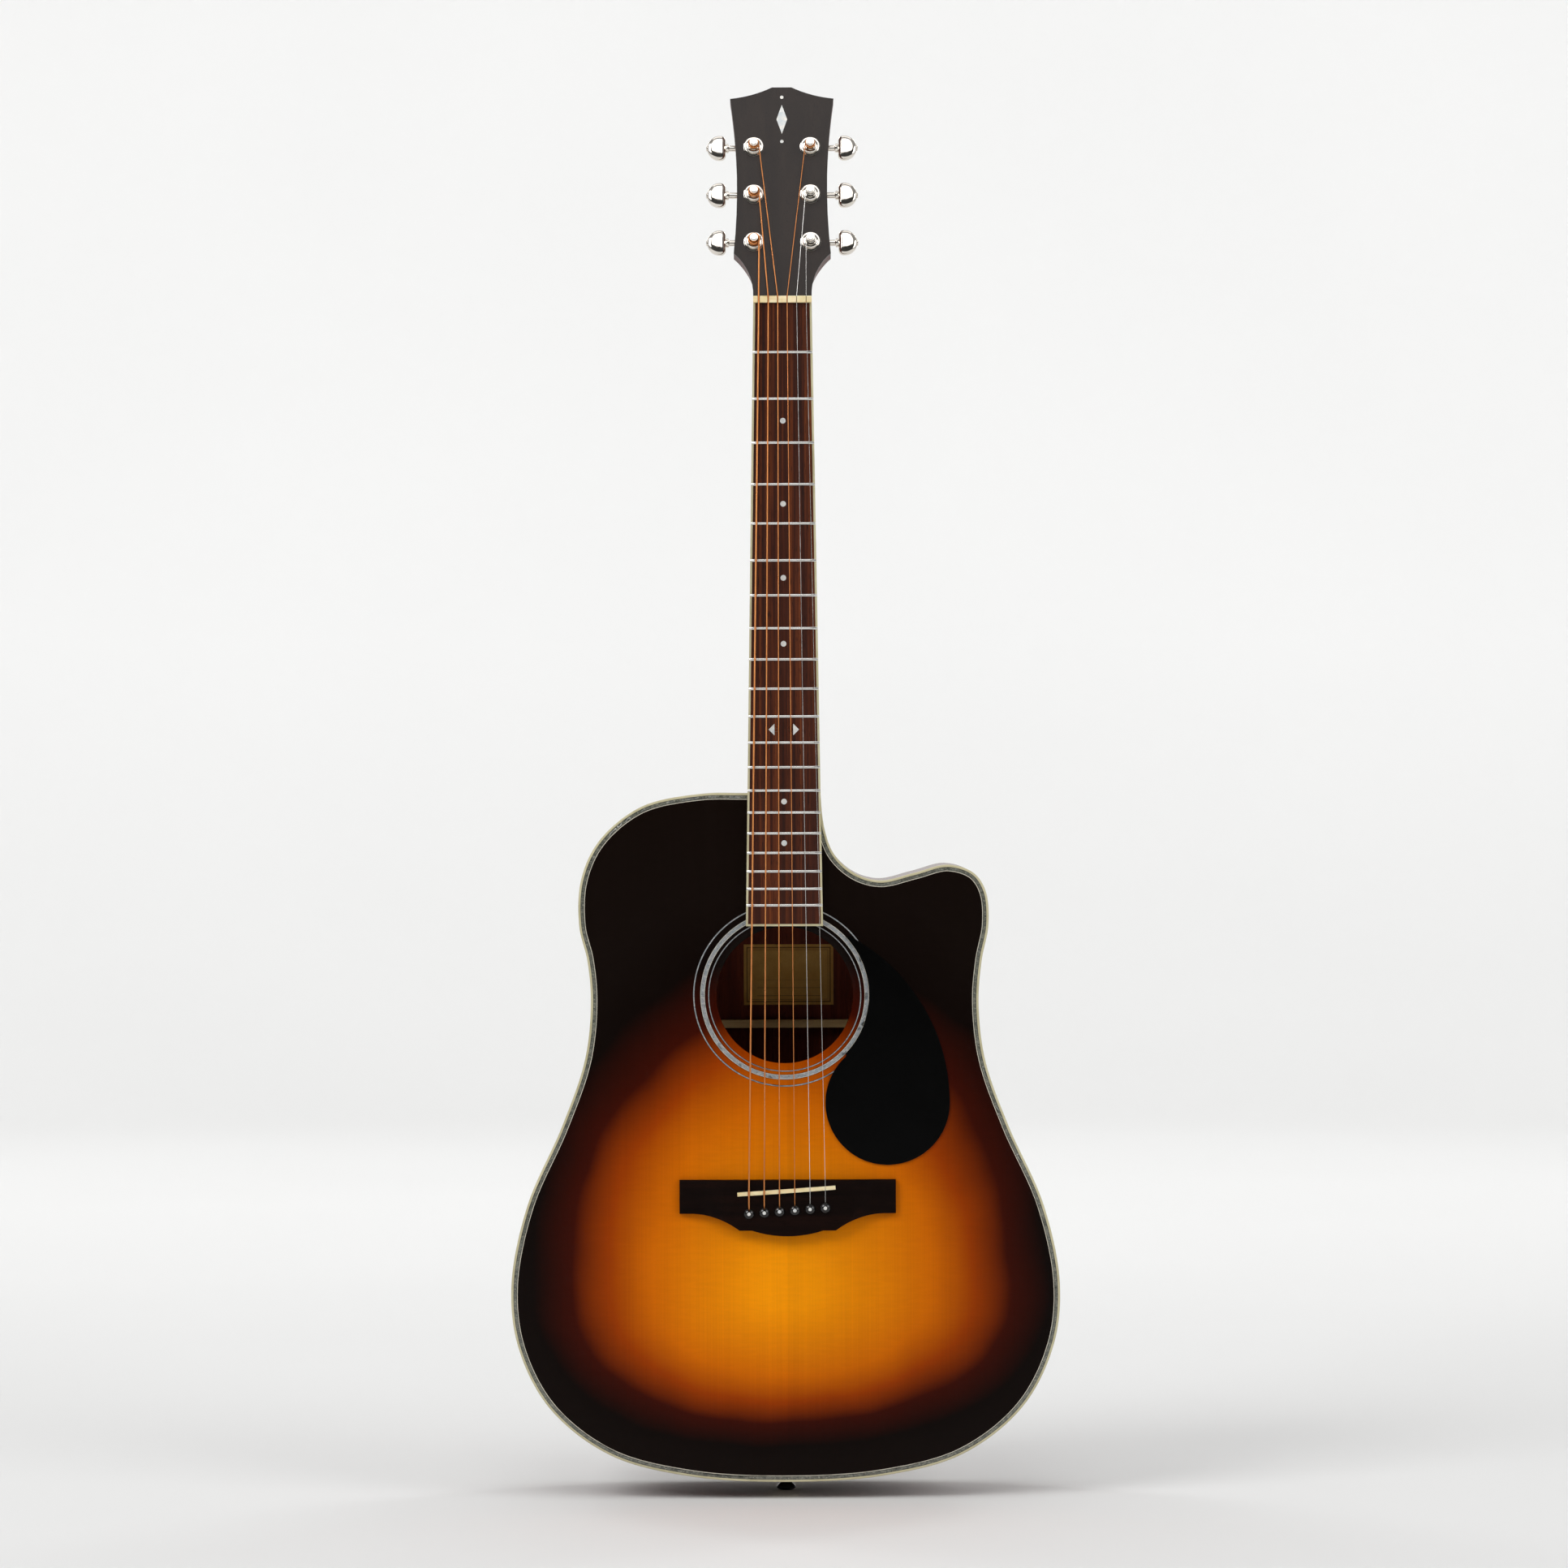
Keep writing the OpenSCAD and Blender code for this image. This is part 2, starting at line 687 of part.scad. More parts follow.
// Everything below a crown that stands h above the fretboard's surface
module crown_form(h) translate([0, board_r - board_t - h, 400])
    cylinder(r = board_r, h = 480, $fn = 256);
function fret_z(n) = nut_z - scale_l * (1 - 2^(-n / 12));
module fret_slots() for (n = [1:fret_count])
    block([-40, -board_t - 5, fret_z(n) - 0.25], [40, -board_t + 2, fret_z(n) + 0.25]);
inlay_t = 1.2;
module dot_pegs(front) for (n = [3, 5, 7, 9, 15, 17])
    peg(0, (fret_z(n - 1) + fret_z(n)) / 2, 2.1, front, front + inlay_t);
module octave_pegs(front) for (s = [-1, 1])
    translate([s * 7, 0, (fret_z(11) + fret_z(12)) / 2]) rotate([0, 45, 0])
        block([-3, front, -3], [3, front + inlay_t, 3]);
module board_blank(inset) intersection() {
    sheet(-board_t - 2, 0) board_plan(inset);
    crown_form(0);
}
module fretboard() color([0.3, 0.14, 0.1]) place() difference() {
    board_blank(board_binding);
    fret_slots();
    dot_pegs(-board_t);
    octave_pegs(0.06 - board_t);
}
module fretboard_binding() color("ivory") place() difference() {
    board_blank(0);
    sheet(-board_t - 5, 5) board_plan(board_binding);
    block([-board_half(nut_z) + board_binding, -10, nut_z - 1],
        [board_half(nut_z) - board_binding, 1, nut_z + 1]);
}
module frets() color("silver") place() {
    intersection() {
        difference() {
            for (n = [1:fret_count]) let (half = board_half(fret_z(n)))
                block([-half + 0.2, -board_t - 4, fret_z(n) - fret_w / 2],
                    [half - 0.2, 0, fret_z(n) + fret_w / 2]);
            crown_form(0);
        }
        crown_form(fret_h);
    }
    intersection() {
        for (n = [1:fret_count]) let (half = board_half(fret_z(n)) - board_binding)
            block([-half, -board_t - 4, fret_z(n) - 0.25], [half, -board_t + 2, fret_z(n) + 0.25]);
        crown_form(0);
    }
}
module dot_inlays() color("white") place() dot_pegs(-board_t);
// Laid just low enough at its outer corners to be flush with the crown
module octave_inlay() color("white") place() octave_pegs(0.06 - board_t);
module nut() color("ivory") place() difference() {
    block([-nut_w / 2, -board_t - 2.6, nut_z], [nut_w / 2, 0, nut_z + nut_t]);
    nut_slots();
}

// ---------------------------------------------------------------- head
// In the head's frame x is u, y is w and z is v
module on_head() translate([0, 0, head_z]) rotate([-head_tilt, 0, 0]) children();
// An arc from a to b that stands s off its chord, to the left of the way from a to b
function bow(a, b, s, steps = 8) =
    let (half = norm(b - a) / 2)
    let (r = (half^2 + s^2) / (2 * s))
    let (along = (b - a) / (2 * half))
    let (left = [-along[1], along[0]])
    let (centre = (a + b) / 2 + left * (s - r))
    let (reach = asin(half / abs(r)))
    [for (i = [0:steps - 1]) let (t = reach * (2 * i / steps - 1))
        centre + r * (left * cos(t) + (s < 0 ? -1 : 1) * along * sin(t))];
head_corner = [36, 33.6];
head_horn = [38.6, 155.4];
head_top = [7.2, 164.4];
head_side = concat(
    bow([nut_w / 2, 0], head_corner, 4.1),
    bow(head_corner, head_horn, 3.7),
    bow(head_horn, head_top, 1.5),
    [head_top]
);
module head_plan() polygon(concat(head_side, mirrored(head_side)));
module post_bores(r, y0, y1) for (i = [0:5]) peg(post_at(i)[0], post_at(i)[1], r, y0, y1);
module tab_screws(r, y0, y1)
    for (i = [0:5]) peg(post_at(i)[0], post_at(i)[1] - 10.5, r, y0, y1);
module headstock() color([0.36, 0.16, 0.08]) place() on_head() difference() {
    sheet(0, head_t) head_plan();
    post_bores(sleeve_r, -1, head_t + 1);
    tab_screws(1, head_t - 8, head_t + 1);
}
module head_veneer() color([0.12, 0.09, 0.08]) place() on_head() difference() {
    sheet(-veneer_t, 0) head_plan();
    post_bores(sleeve_r, -5, 5);
    inlay_shape();
}
// A plain lozenge between two dots
inlay_v = 139;
module inlay_shape() sheet(-veneer_t - 0.01, -veneer_t + 0.8) {
    translate([0, inlay_v]) polygon([[-4, 0], [0, -11.5], [4, 0], [0, 11.5]]);
    for (s = [-1, 1]) translate([0, inlay_v + s * 17.5]) circle(r = 1.3);
}
module head_inlay() color("gold") place() on_head() intersection() {
    inlay_shape();
    block([-30, -veneer_t, 0], [30, 0, head_top[1]]);
}

// ---------------------------------------------------------------- tuners
module housing_plan(grow) {
    circle(r = 8 - grow);
    translate([grow - 8, 0]) square([16 - 2 * grow, 11.2 - grow]);
}
module tuner_housing(i) {
    s = post_side(i);
    back = head_t + 10;
    translate([post_at(i)[0], 0, post_at(i)[1]]) difference() {
        union() {
            sheet(head_t, back) housing_plan(0);
            sheet(head_t, head_t + 1.5) {
                translate([0, -10.5]) circle(r = 3);
                translate([-3, -10.5]) square([6, 6]);
            }
            translate([s * 7, worm_w, worm_offset]) rotate([0, s * 90, 0]) cylinder(r = 3.2, h = 3);
        }
        sheet(head_t - 1, back - 1.5) housing_plan(2);
        translate([s * 3, worm_w, worm_offset]) rotate([0, s * 90, 0]) cylinder(r = 1.6, h = 10);
        peg(0, -10.5, 1, head_t - 1, head_t + 5);
    }
}
module tuner_housings() color("silver") place() on_head() for (i = [0:5]) tuner_housing(i);
module tuner_bushings() color("silver") place() on_head() for (i = [0:5])
    translate([post_at(i)[0], 0, post_at(i)[1]]) difference() {
        union() {
            peg(0, 0, sleeve_r, -veneer_t - 0.8, head_t);
            peg(0, 0, 6, -veneer_t - 3.2, -veneer_t - 0.8);
        }
        peg(0, 0, post_r + 0.1, -10, head_t + 5);
    }
module tuner_washers() color("silver") place() on_head() for (i = [0:5])
    translate([post_at(i)[0], 0, post_at(i)[1]]) difference() {
        peg(0, 0, 7.65, -veneer_t - 0.8, -veneer_t);
        peg(0, 0, sleeve_r, -10, 5);
    }
module tuner_screws() color("silver") place() on_head() {
    tab_screws(1, head_t - 8, head_t + 1.5);
    tab_screws(2, head_t + 1.5, head_t + 2.6);
}
// The gear on the post: teeth as [radius, angle from the tooth's middle]
tooth = [[3.1, -7.4], [4.15, -1.7], [4.15, 1.7], [3.1, 7.4]];
module gear_plan() polygon([
    for (k = [0:gear_teeth - 1]) for (p = tooth)
    let (a = 90 + p[1] + 360 * k / gear_teeth) p[0] * [cos(a), sin(a)]
]);
module tuner_post(i) color("silver") place() on_head()
    translate([post_at(i)[0], 0, post_at(i)[1]]) {
        peg(0, 0, 1.5, worm_w, head_t + 8.2);
        sheet(worm_w - gear_w / 2, worm_w + gear_w / 2) gear_plan();
        difference() {
            union() {
                peg(0, 0, post_r, -veneer_t - post_front + 1, worm_w);
                peg(0, 0, post_r - 0.6, -veneer_t - post_front, worm_w);
            }
            translate([-5, -veneer_t - post_front + 2.6, 0]) rotate([0, 90, 0])
                cylinder(r = 0.9, h = 10);
        }
    }
// Plan of a button: a round outer side, and a straight side towards the head with soft corners
button_round = 9.6;
button_soft = 3.6;
module button_plan() offset(r = button_soft, $fn = 24) offset(delta = -button_soft) intersection() {
    translate([button_in + 4.4, 0]) circle(r = button_round, $fn = 40);
    translate([button_in, -10]) square(20);
}
module tuner_button(i) color("silver") place() on_head()
    translate([post_at(i)[0], worm_w, post_at(i)[1] + worm_offset]) {
        s = post_side(i);
        mirror([s < 0 ? 1 : 0, 0, 0]) {
            hull() {
                sheet(-1.8, 1.8) button_plan();
                sheet(-3.5, 3.5) offset(delta = -1.6) button_plan();
            }
            rotate([0, 90, 0]) cylinder(r = 1.5, h = button_in + 13);
            translate([11, 0, 0]) rotate([0, 90, 0]) cylinder(r = 2.3, h = 8);
            translate([19, 0, 0]) rotate([0, 90, 0]) cylinder(r = 3.4, h = 2.5);
            translate([34.5, 0, 0]) rotate([0, 90, 0]) cylinder(r = 2.2, h = 1.2);
        }
        translate([-worm_l / 2, 0, 0]) rotate([0, 90, 0])
            linear_extrude(worm_l, twist = -360 * worm_l / worm_lead, slices = 38, $fn = 12)
                rotate(180 * (1 - worm_l / worm_lead)) translate([0.5, 0]) circle(r = 2.2);
    }

soundboard();
back_plate();
side_bass();
side_treble();
end_graft();
neck_block();
tail_block();
lining_top();
lining_back();
binding_top();
binding_back();
purfling();
rosette();
x_brace();
transverse_brace();
tone_bars();
finger_braces();
sound_hole_braces();
bridge_plate();
back_braces();
back_strip();
label();
pickguard();
bridge();
saddle();
bridge_pins();
pin_dots();
end_pin();
neck_shaft();
heel();
heel_cap();
headstock();
head_veneer();
head_inlay();
truss_rod();
truss_nut();
fretboard();
fretboard_binding();
frets();
dot_inlays();
octave_inlay();
nut();
wound_strings();
plain_strings();
tuner_housings();
tuner_bushings();
tuner_washers();
tuner_screws();
for (i = [1:6]) {
    tuner_button(i - 1);
    tuner_post(i - 1);
}
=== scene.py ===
"""Looks of an acoustic guitar with a cutaway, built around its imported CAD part."""

import json
import math

import bmesh
import bpy
import numpy as np
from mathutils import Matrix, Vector
from mathutils.geometry import tessellate_polygon

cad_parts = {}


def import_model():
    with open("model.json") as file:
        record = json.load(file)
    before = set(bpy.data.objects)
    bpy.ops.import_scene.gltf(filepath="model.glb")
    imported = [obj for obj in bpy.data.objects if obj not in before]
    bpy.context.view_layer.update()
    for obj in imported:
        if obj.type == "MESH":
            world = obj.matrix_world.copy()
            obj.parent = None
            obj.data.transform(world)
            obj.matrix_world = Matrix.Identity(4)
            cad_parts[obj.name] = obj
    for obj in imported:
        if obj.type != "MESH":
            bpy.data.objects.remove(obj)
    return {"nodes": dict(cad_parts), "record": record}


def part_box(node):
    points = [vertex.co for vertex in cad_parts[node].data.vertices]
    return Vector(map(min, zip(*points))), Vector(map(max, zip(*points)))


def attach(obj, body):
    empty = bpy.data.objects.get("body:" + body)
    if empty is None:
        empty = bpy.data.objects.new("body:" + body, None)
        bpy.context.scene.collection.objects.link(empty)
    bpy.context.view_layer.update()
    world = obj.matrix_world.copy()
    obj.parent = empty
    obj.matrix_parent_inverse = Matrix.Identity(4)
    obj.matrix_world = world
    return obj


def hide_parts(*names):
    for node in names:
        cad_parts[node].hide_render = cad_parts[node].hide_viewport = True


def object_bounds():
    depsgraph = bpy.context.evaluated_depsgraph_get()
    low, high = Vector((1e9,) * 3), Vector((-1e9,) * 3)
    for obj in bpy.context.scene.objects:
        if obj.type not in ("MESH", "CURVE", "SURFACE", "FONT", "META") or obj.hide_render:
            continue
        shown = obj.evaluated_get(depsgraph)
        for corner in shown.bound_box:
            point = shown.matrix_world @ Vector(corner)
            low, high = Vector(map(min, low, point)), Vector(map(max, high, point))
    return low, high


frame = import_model()
cad_box = [list(corner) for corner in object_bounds()]
nodes = frame["nodes"]
slot_of = {s["node"]: s["material_slot"] for s in frame["record"]["subparts"]}
scene = bpy.context.scene

# ------------------------------------------------------------------ the guitar's own frame
# Millimetres: x to the treble side, y behind the soundboard's face, z above the tail.
RIM_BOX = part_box("binding_top")
ORIGIN = np.array(
    [(RIM_BOX[0].x + RIM_BOX[1].x) / 2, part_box("soundboard")[0].y, RIM_BOX[0].z]
)
BODY_L, SIDE_T, TOP_T, BACK_T = 510, 2.2, 2.8, 2.5
BIND_W, BIND_H, PURF_IN, PURF_T = 1.7, 6, 4.8, 1.5
DEPTH_TAIL, DEPTH_NECK, BACK_R = 118, 100, 4572
HOLE_Z, HOLE_R = 360.4, 50.5
NUT_Z, NUT_T, SCALE_L, BOARD_T, BOARD_R = 872.2, 5, 650, 6, 400
HEAD_Z, HEAD_TILT, HEAD_T, VENEER_T = 877.2, math.radians(14), 13.5, 1.5
POST_U, POST_V = 21, [42.4, 79.9, 117.3, 117.3, 79.9, 42.4]
WORM_W, WORM_UP, WORM_L, WORM_LEAD = 17.9, 6, 5, math.pi / 2


def world(points):
    """Metres in the part's frame, from millimetres in the guitar's own."""
    return np.asarray(points, float) / 1000 + ORIGIN


def head(u, v, w):
    """A point of the tilted head: u across, v up the head, w back into the wood."""
    s, c = math.sin(HEAD_TILT), math.cos(HEAD_TILT)
    return (u, v * s + w * c, HEAD_Z + v * c - w * s)


def side_of(i):
    """-1 for the three tuners on the bass side, 1 for the others."""
    return -1 if i < 3 else 1


def smooth(t):
    t = min(max(t, 0), 1)
    return t * t * (3 - 2 * t)


# ------------------------------------------------------------------ meshes
class Shape:
    """Points and faces being gathered into one piece."""

    def __init__(self):
        self.points, self.faces, self.numbers, self.grain = [], [], [], []

    def face(self, indices, number=0, grain=None):
        self.faces.append(list(indices))
        self.numbers.append(number)
        self.grain.append(grain or [(0, 0)] * len(indices))

    def skin(self, rings, loop=False, closed=True, caps=True, number=0):
        """Quads between equal rings. loop joins the last ring to the first."""
        rings = [np.asarray(r, float) for r in rings]
        count, size, base = len(rings), len(rings[0]), len(self.points)
        for r in rings:
            self.points += r.tolist()
        along, round_ = [0.0], [0.0]
        for i in range(count):
            step = rings[(i + 1) % count].mean(0) - rings[i].mean(0)
            along.append(along[-1] + np.linalg.norm(step) / 1000)
        for k in range(size):
            step = rings[0][(k + 1) % size] - rings[0][k]
            round_.append(round_[-1] + np.linalg.norm(step) / 1000)
        for i in range(count if loop else count - 1):
            a, b = base + i * size, base + (i + 1) % count * size
            for k in range(size if closed else size - 1):
                n = (k + 1) % size
                self.face(
                    [a + k, b + k, b + n, a + n],
                    number,
                    [
                        (along[i], round_[k]),
                        (along[i + 1], round_[k]),
                        (along[i + 1], round_[k + 1]),
                        (along[i], round_[k + 1]),
                    ],
                )
        if caps and closed and not loop:
            self.face([base + k for k in range(size)], number)
            self.face([base + (count - 1) * size + k for k in range(size)], number)

    def fill(self, loops, number=0):
        """A flat sheet inside the first loop and outside the others."""
        base = len(self.points)
        flat = [p for loop in loops for p in loop]
        self.points += [tuple(p) for p in flat]
        flat2 = [[Vector((p[0], p[2], 0)) for p in loop] for loop in loops]
        for tri in tessellate_polygon(flat2):
            self.face([base + i for i in tri], number)

    def lathe(self, profile, put, steps=48, closed=False, number=0):
        """Turns (radius, height) points round an axis that put() places."""
        rings = []
        for i in range(steps):
            a = 2 * math.pi * i / steps
            rings.append([put(r * math.cos(a), r * math.sin(a), h) for r, h in profile])
        self.skin(rings, loop=True, closed=closed, number=number)

    def build(self, name, finishes, replaces=(), body="body", angle=35):
        mesh = bpy.data.meshes.new(name)
        spots = np.clip(world(self.points), cad_box[0], cad_box[1])
        mesh.from_pydata(spots.tolist(), [], self.faces)
        for m in finishes:
            mesh.materials.append(m)
        mesh.polygons.foreach_set("material_index", self.numbers)
        layer = mesh.uv_layers.new(name="grain")
        layer.data.foreach_set(
            "uv", [c for face in self.grain for corner in face for c in corner]
        )
        bm = bmesh.new()
        bm.from_mesh(mesh)
        bmesh.ops.remove_doubles(bm, verts=bm.verts, dist=2e-6)
        bmesh.ops.dissolve_degenerate(bm, edges=bm.edges, dist=1e-6)
        bmesh.ops.recalc_face_normals(bm, faces=bm.faces)
        bm.to_mesh(mesh)
        bm.free()
        mesh.polygons.foreach_set("use_smooth", [True] * len(mesh.polygons))
        mesh.set_sharp_from_angle(angle=math.radians(angle))
        piece = bpy.data.objects.new(name, mesh)
        scene.collection.objects.link(piece)
        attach(piece, body)
        if replaces:
            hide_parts(*replaces)
        return piece


# ------------------------------------------------------------------ outline of the body
LOWER_HALF = [
    (72, 4.5), (131, 20.5), (175, 55), (198, 100), (203, 146), (191, 205), (165, 264),
    (148, 313), (143.5, 355), (146, 386),
]
SHOULDER = [(152, 412), (150.5, 446), (137, 475), (106, 500), (62, 509.5), (30, 510)]
HORN = [
    (151, 412), (149, 437), (140, 450.5), (121, 456.5), (96, 450.5), (71, 445), (52, 450.5),
    (37, 464.5), (30, 483), (27, 510),
]


def mirrored(points):
    return [(-x, z) for x, z in reversed(points)]


def span_point(p, t):
    """Point and inward normal of the smooth curve between p[1] and p[2]."""
    p = [np.array(q, float) for q in p]

    def knot(a, b):
        return math.sqrt(np.linalg.norm(b - a))

    def slope(a, b, c):
        return (c - b) / knot(b, c) - (c - a) / (knot(a, b) + knot(b, c)) + (b - a) / knot(a, b)

    k = knot(p[1], p[2])
    m, n = slope(p[0], p[1], p[2]) * k, slope(p[1], p[2], p[3]) * k
    at = (
        (2 * t**3 - 3 * t**2 + 1) * p[1] + (t**3 - 2 * t**2 + t) * m
        + (3 * t**2 - 2 * t**3) * p[2] + (t**3 - t**2) * n
    )
    way = (
        (6 * t**2 - 6 * t) * p[1] + (3 * t**2 - 4 * t + 1) * m
        + (6 * t - 6 * t**2) * p[2] + (3 * t**2 - 2 * t) * n
    )
    return at, np.array([-way[1], way[0]]) / np.linalg.norm(way)


def make_rim(steps=12):
    """Stations round the body from the neck's bass side: point, normal towards the inside."""
    through = (
        [(10, 510)] + mirrored(SHOULDER) + mirrored(LOWER_HALF) + [(0, 0)] + LOWER_HALF
        + HORN + [(27, 540)]
    )
    found = [
        span_point(through[i:i + 4], j / steps)
        for i in range(len(through) - 3) for j in range(steps)
    ]
    tail = [s for s in found if abs(s[0][0]) < 70 and s[0][1] < 6]
    xs = [s[0][0] for s in tail]

    def at(x):
        p = np.array([x, np.interp(x, xs, [s[0][1] for s in tail])])
        n = np.array([np.interp(x, xs, [s[1][0] for s in tail]),
                      np.interp(x, xs, [s[1][1] for s in tail])])
        return p, n / np.linalg.norm(n)

    before = [s for s in found if s[0][0] < -9.5]
    after = [s for s in found if s[0][0] > 9.5 and not (s[0][1] > 503 and s[0][0] < 40)]
    graft = [at(x) for x in (-8, -4, 0, 4, 8)]
    corner = [(np.array([27.0, BODY_L]), np.array([-1.0, -1.0]))]
    flat = [
        (np.array([x, BODY_L], float), np.array([0.0, -1.0])) for x in (19, 12, 6, 0, -8, -16, -23)
    ]
    return before, graft, after, corner + flat


RIM_BASS, RIM_GRAFT, RIM_TREBLE, RIM_NECK = make_rim()
RIM = RIM_BASS + RIM_GRAFT + RIM_TREBLE + RIM_NECK


def back(q, inset=0.0):
    """y of the arched, tapered back at x, z, moved in by inset."""
    slope = (DEPTH_TAIL - DEPTH_NECK) / BODY_L
    drop = math.sqrt((BACK_R - inset) ** 2 - q[0] ** 2) - BACK_R
    return DEPTH_TAIL + drop * math.hypot(1, slope) - q[1] * slope


def rim_rings(section, stations):
    """The section's (distance in from the outline, y) points at every station."""
    rings = []
    for p, n in stations:
        ring = []
        for d, y in section:
            q = p + d * n
            ring.append((q[0], y(q) if callable(y) else y, q[1]))
        rings.append(ring)
    return rings


def behind(inset):
    return lambda q: back(q, inset)


# ------------------------------------------------------------------ finishes
def linear(*rgb):
    """A colour as the shader takes it, from the 0 to 255 numbers of a screen."""
    def one(c):
        c /= 255
        return c / 12.92 if c <= 0.04045 else ((c + 0.055) / 1.055) ** 2.4
    return tuple(one(c) for c in rgb) + (1.0,)


class Net:
    """A material under construction, with short calls for its nodes."""

    def __init__(self, name, **constants):
        self.material = bpy.data.materials.new(name)
        self.material.use_nodes = True
        self.tree = self.material.node_tree
        self.shader = self.tree.nodes["Principled BSDF"]
        for key, value in constants.items():
            self.shader.inputs[key.replace("_", " ")].default_value = value
        self.place = self.add("ShaderNodeTexCoord").outputs["Object"]

    def add(self, kind, inputs=(), **props):
        n = self.tree.nodes.new(kind)
        for key, value in props.items():
            setattr(n, key, value)
        for key, value in dict(inputs).items():
            if isinstance(value, bpy.types.NodeSocket):
                self.tree.links.new(value, n.inputs[key])
            else:
                n.inputs[key].default_value = value
        return n

    def set(self, **sockets):
        for key, value in sockets.items():
            self.tree.links.new(value, self.shader.inputs[key.replace("_", " ")])
        return self.material

    def math(self, op, a, b=0.0, clamp=False):
        n = self.add("ShaderNodeMath", {0: a, 1: b}, operation=op)
        n.use_clamp = clamp
        return n.outputs[0]

    def uv(self):
        return self.add("ShaderNodeUVMap", uv_map="grain").outputs[0]

    def scaled(self, vector, x, y, z, turn=(0, 0, 0)):
        return self.add(
            "ShaderNodeMapping", {"Vector": vector, "Scale": (x, y, z), "Rotation": turn}
        ).outputs[0]

    def noise(self, vector, scale=1.0, detail=3.0, rough=0.55, distort=0.0):
        return self.add(
            "ShaderNodeTexNoise",
            {"Vector": vector, "Scale": scale, "Detail": detail, "Roughness": rough,
             "Distortion": distort},
        ).outputs["Fac"]

    def ramp(self, factor, *stops):
        n = self.add("ShaderNodeValToRGB", {"Fac": factor})
        e = n.color_ramp.elements
        while len(e) < len(stops):
            e.new(0.5)
        for element, (at, colour) in zip(e, stops):
            element.position = at
            element.color = colour if len(colour) == 4 else tuple(colour) + (1.0,)
        return n.outputs["Color"]

    def grey(self, factor, *stops):
        return self.ramp(factor, *[(at, (v, v, v)) for at, v in stops])

    def span(self, factor, low, high, start=0.0, end=1.0):
        return self.add(
            "ShaderNodeMapRange",
            {"Value": factor, "From Min": start, "From Max": end, "To Min": low, "To Max": high},
        ).outputs[0]

    def mix(self, factor, a, b, blend="MIX"):
        n = self.add("ShaderNodeMix", {0: factor, 6: a, 7: b}, data_type="RGBA", blend_type=blend)
        return n.outputs[2]

    def bump(self, height, strength=0.2, distance=0.0002):
        return self.add(
            "ShaderNodeBump", {"Height": height, "Strength": strength, "Distance": distance}
        ).outputs[0]

    def parts(self):
        n = self.add("ShaderNodeSeparateXYZ", {"Vector": self.place})
        return n.outputs[0], n.outputs[1], n.outputs[2]


def wood(name, dark, mid, light, along="z", fine=1300, figure=90, rough=(0.22, 0.36),
         pores=0.5, bump=0.12, **constants):
    """Straight-grained wood. along is the grain's direction, or uv for bent wood."""
    net = Net(name, **constants)
    source = net.uv() if along == "uv" else net.place

    def stretched(across, length):
        scale = {"z": (across, across, length), "x": (length, across, across),
                 "uv": (length, across, across)}[along]
        return net.scaled(source, *scale)

    bands = net.noise(stretched(figure, 3.2), detail=4, distort=0.6)
    fibre = net.noise(stretched(fine, 22), detail=5, rough=0.65)
    short = net.noise(stretched(fine * 1.6, 120), detail=2, rough=0.4)
    cloud = net.noise(stretched(14, 5), detail=2)
    colour = net.ramp(bands, (0.28, dark), (0.5, mid), (0.72, light))
    colour = net.mix(
        net.span(fibre, 0.0, 0.55, 0.3, 0.75), colour, net.ramp(cloud, (0.3, dark), (0.7, mid))
    )
    pore = net.grey(short, (0.3, 0.0), (0.39, 1.0))
    colour = net.mix(net.math("MULTIPLY", net.math("SUBTRACT", 1.0, pore), pores),
                     colour, tuple(c * 0.35 for c in dark[:3]) + (1.0,))
    height = net.math("ADD", net.math("MULTIPLY", fibre, 0.5), net.math("MULTIPLY", pore, 0.5))
    return net.set(
        Base_Color=colour,
        Roughness=net.span(fibre, rough[0], rough[1], 0.3, 0.7),
        Normal=net.bump(height, bump, 0.0001),
    )


# The sunburst's tones, from its middle out to the edge and the upper bout
AMBER, ORANGE, RUST = linear(240, 145, 2), linear(200, 100, 0), linear(145, 55, 0)
RED_BROWN, BLACK_BROWN, DARK_BROWN = linear(55, 11, 2), linear(12, 5, 3), linear(18, 11, 8)
# The sunburst's middle, its half width, and its reach up and down, in metres; the short reach down
# is partly the burst's shape and partly painted shade, where light falls off towards the tail
BURST_X, BURST_Z, BURST_SIDE, BURST_UP, BURST_DOWN_WITH_SHADE = 0.003, 0.143, 0.155, 0.2, 0.095
BURST_POWER = 2.2   # 2 would make the burst an ellipse, more makes it squarer
SEAM_X = 0.0014


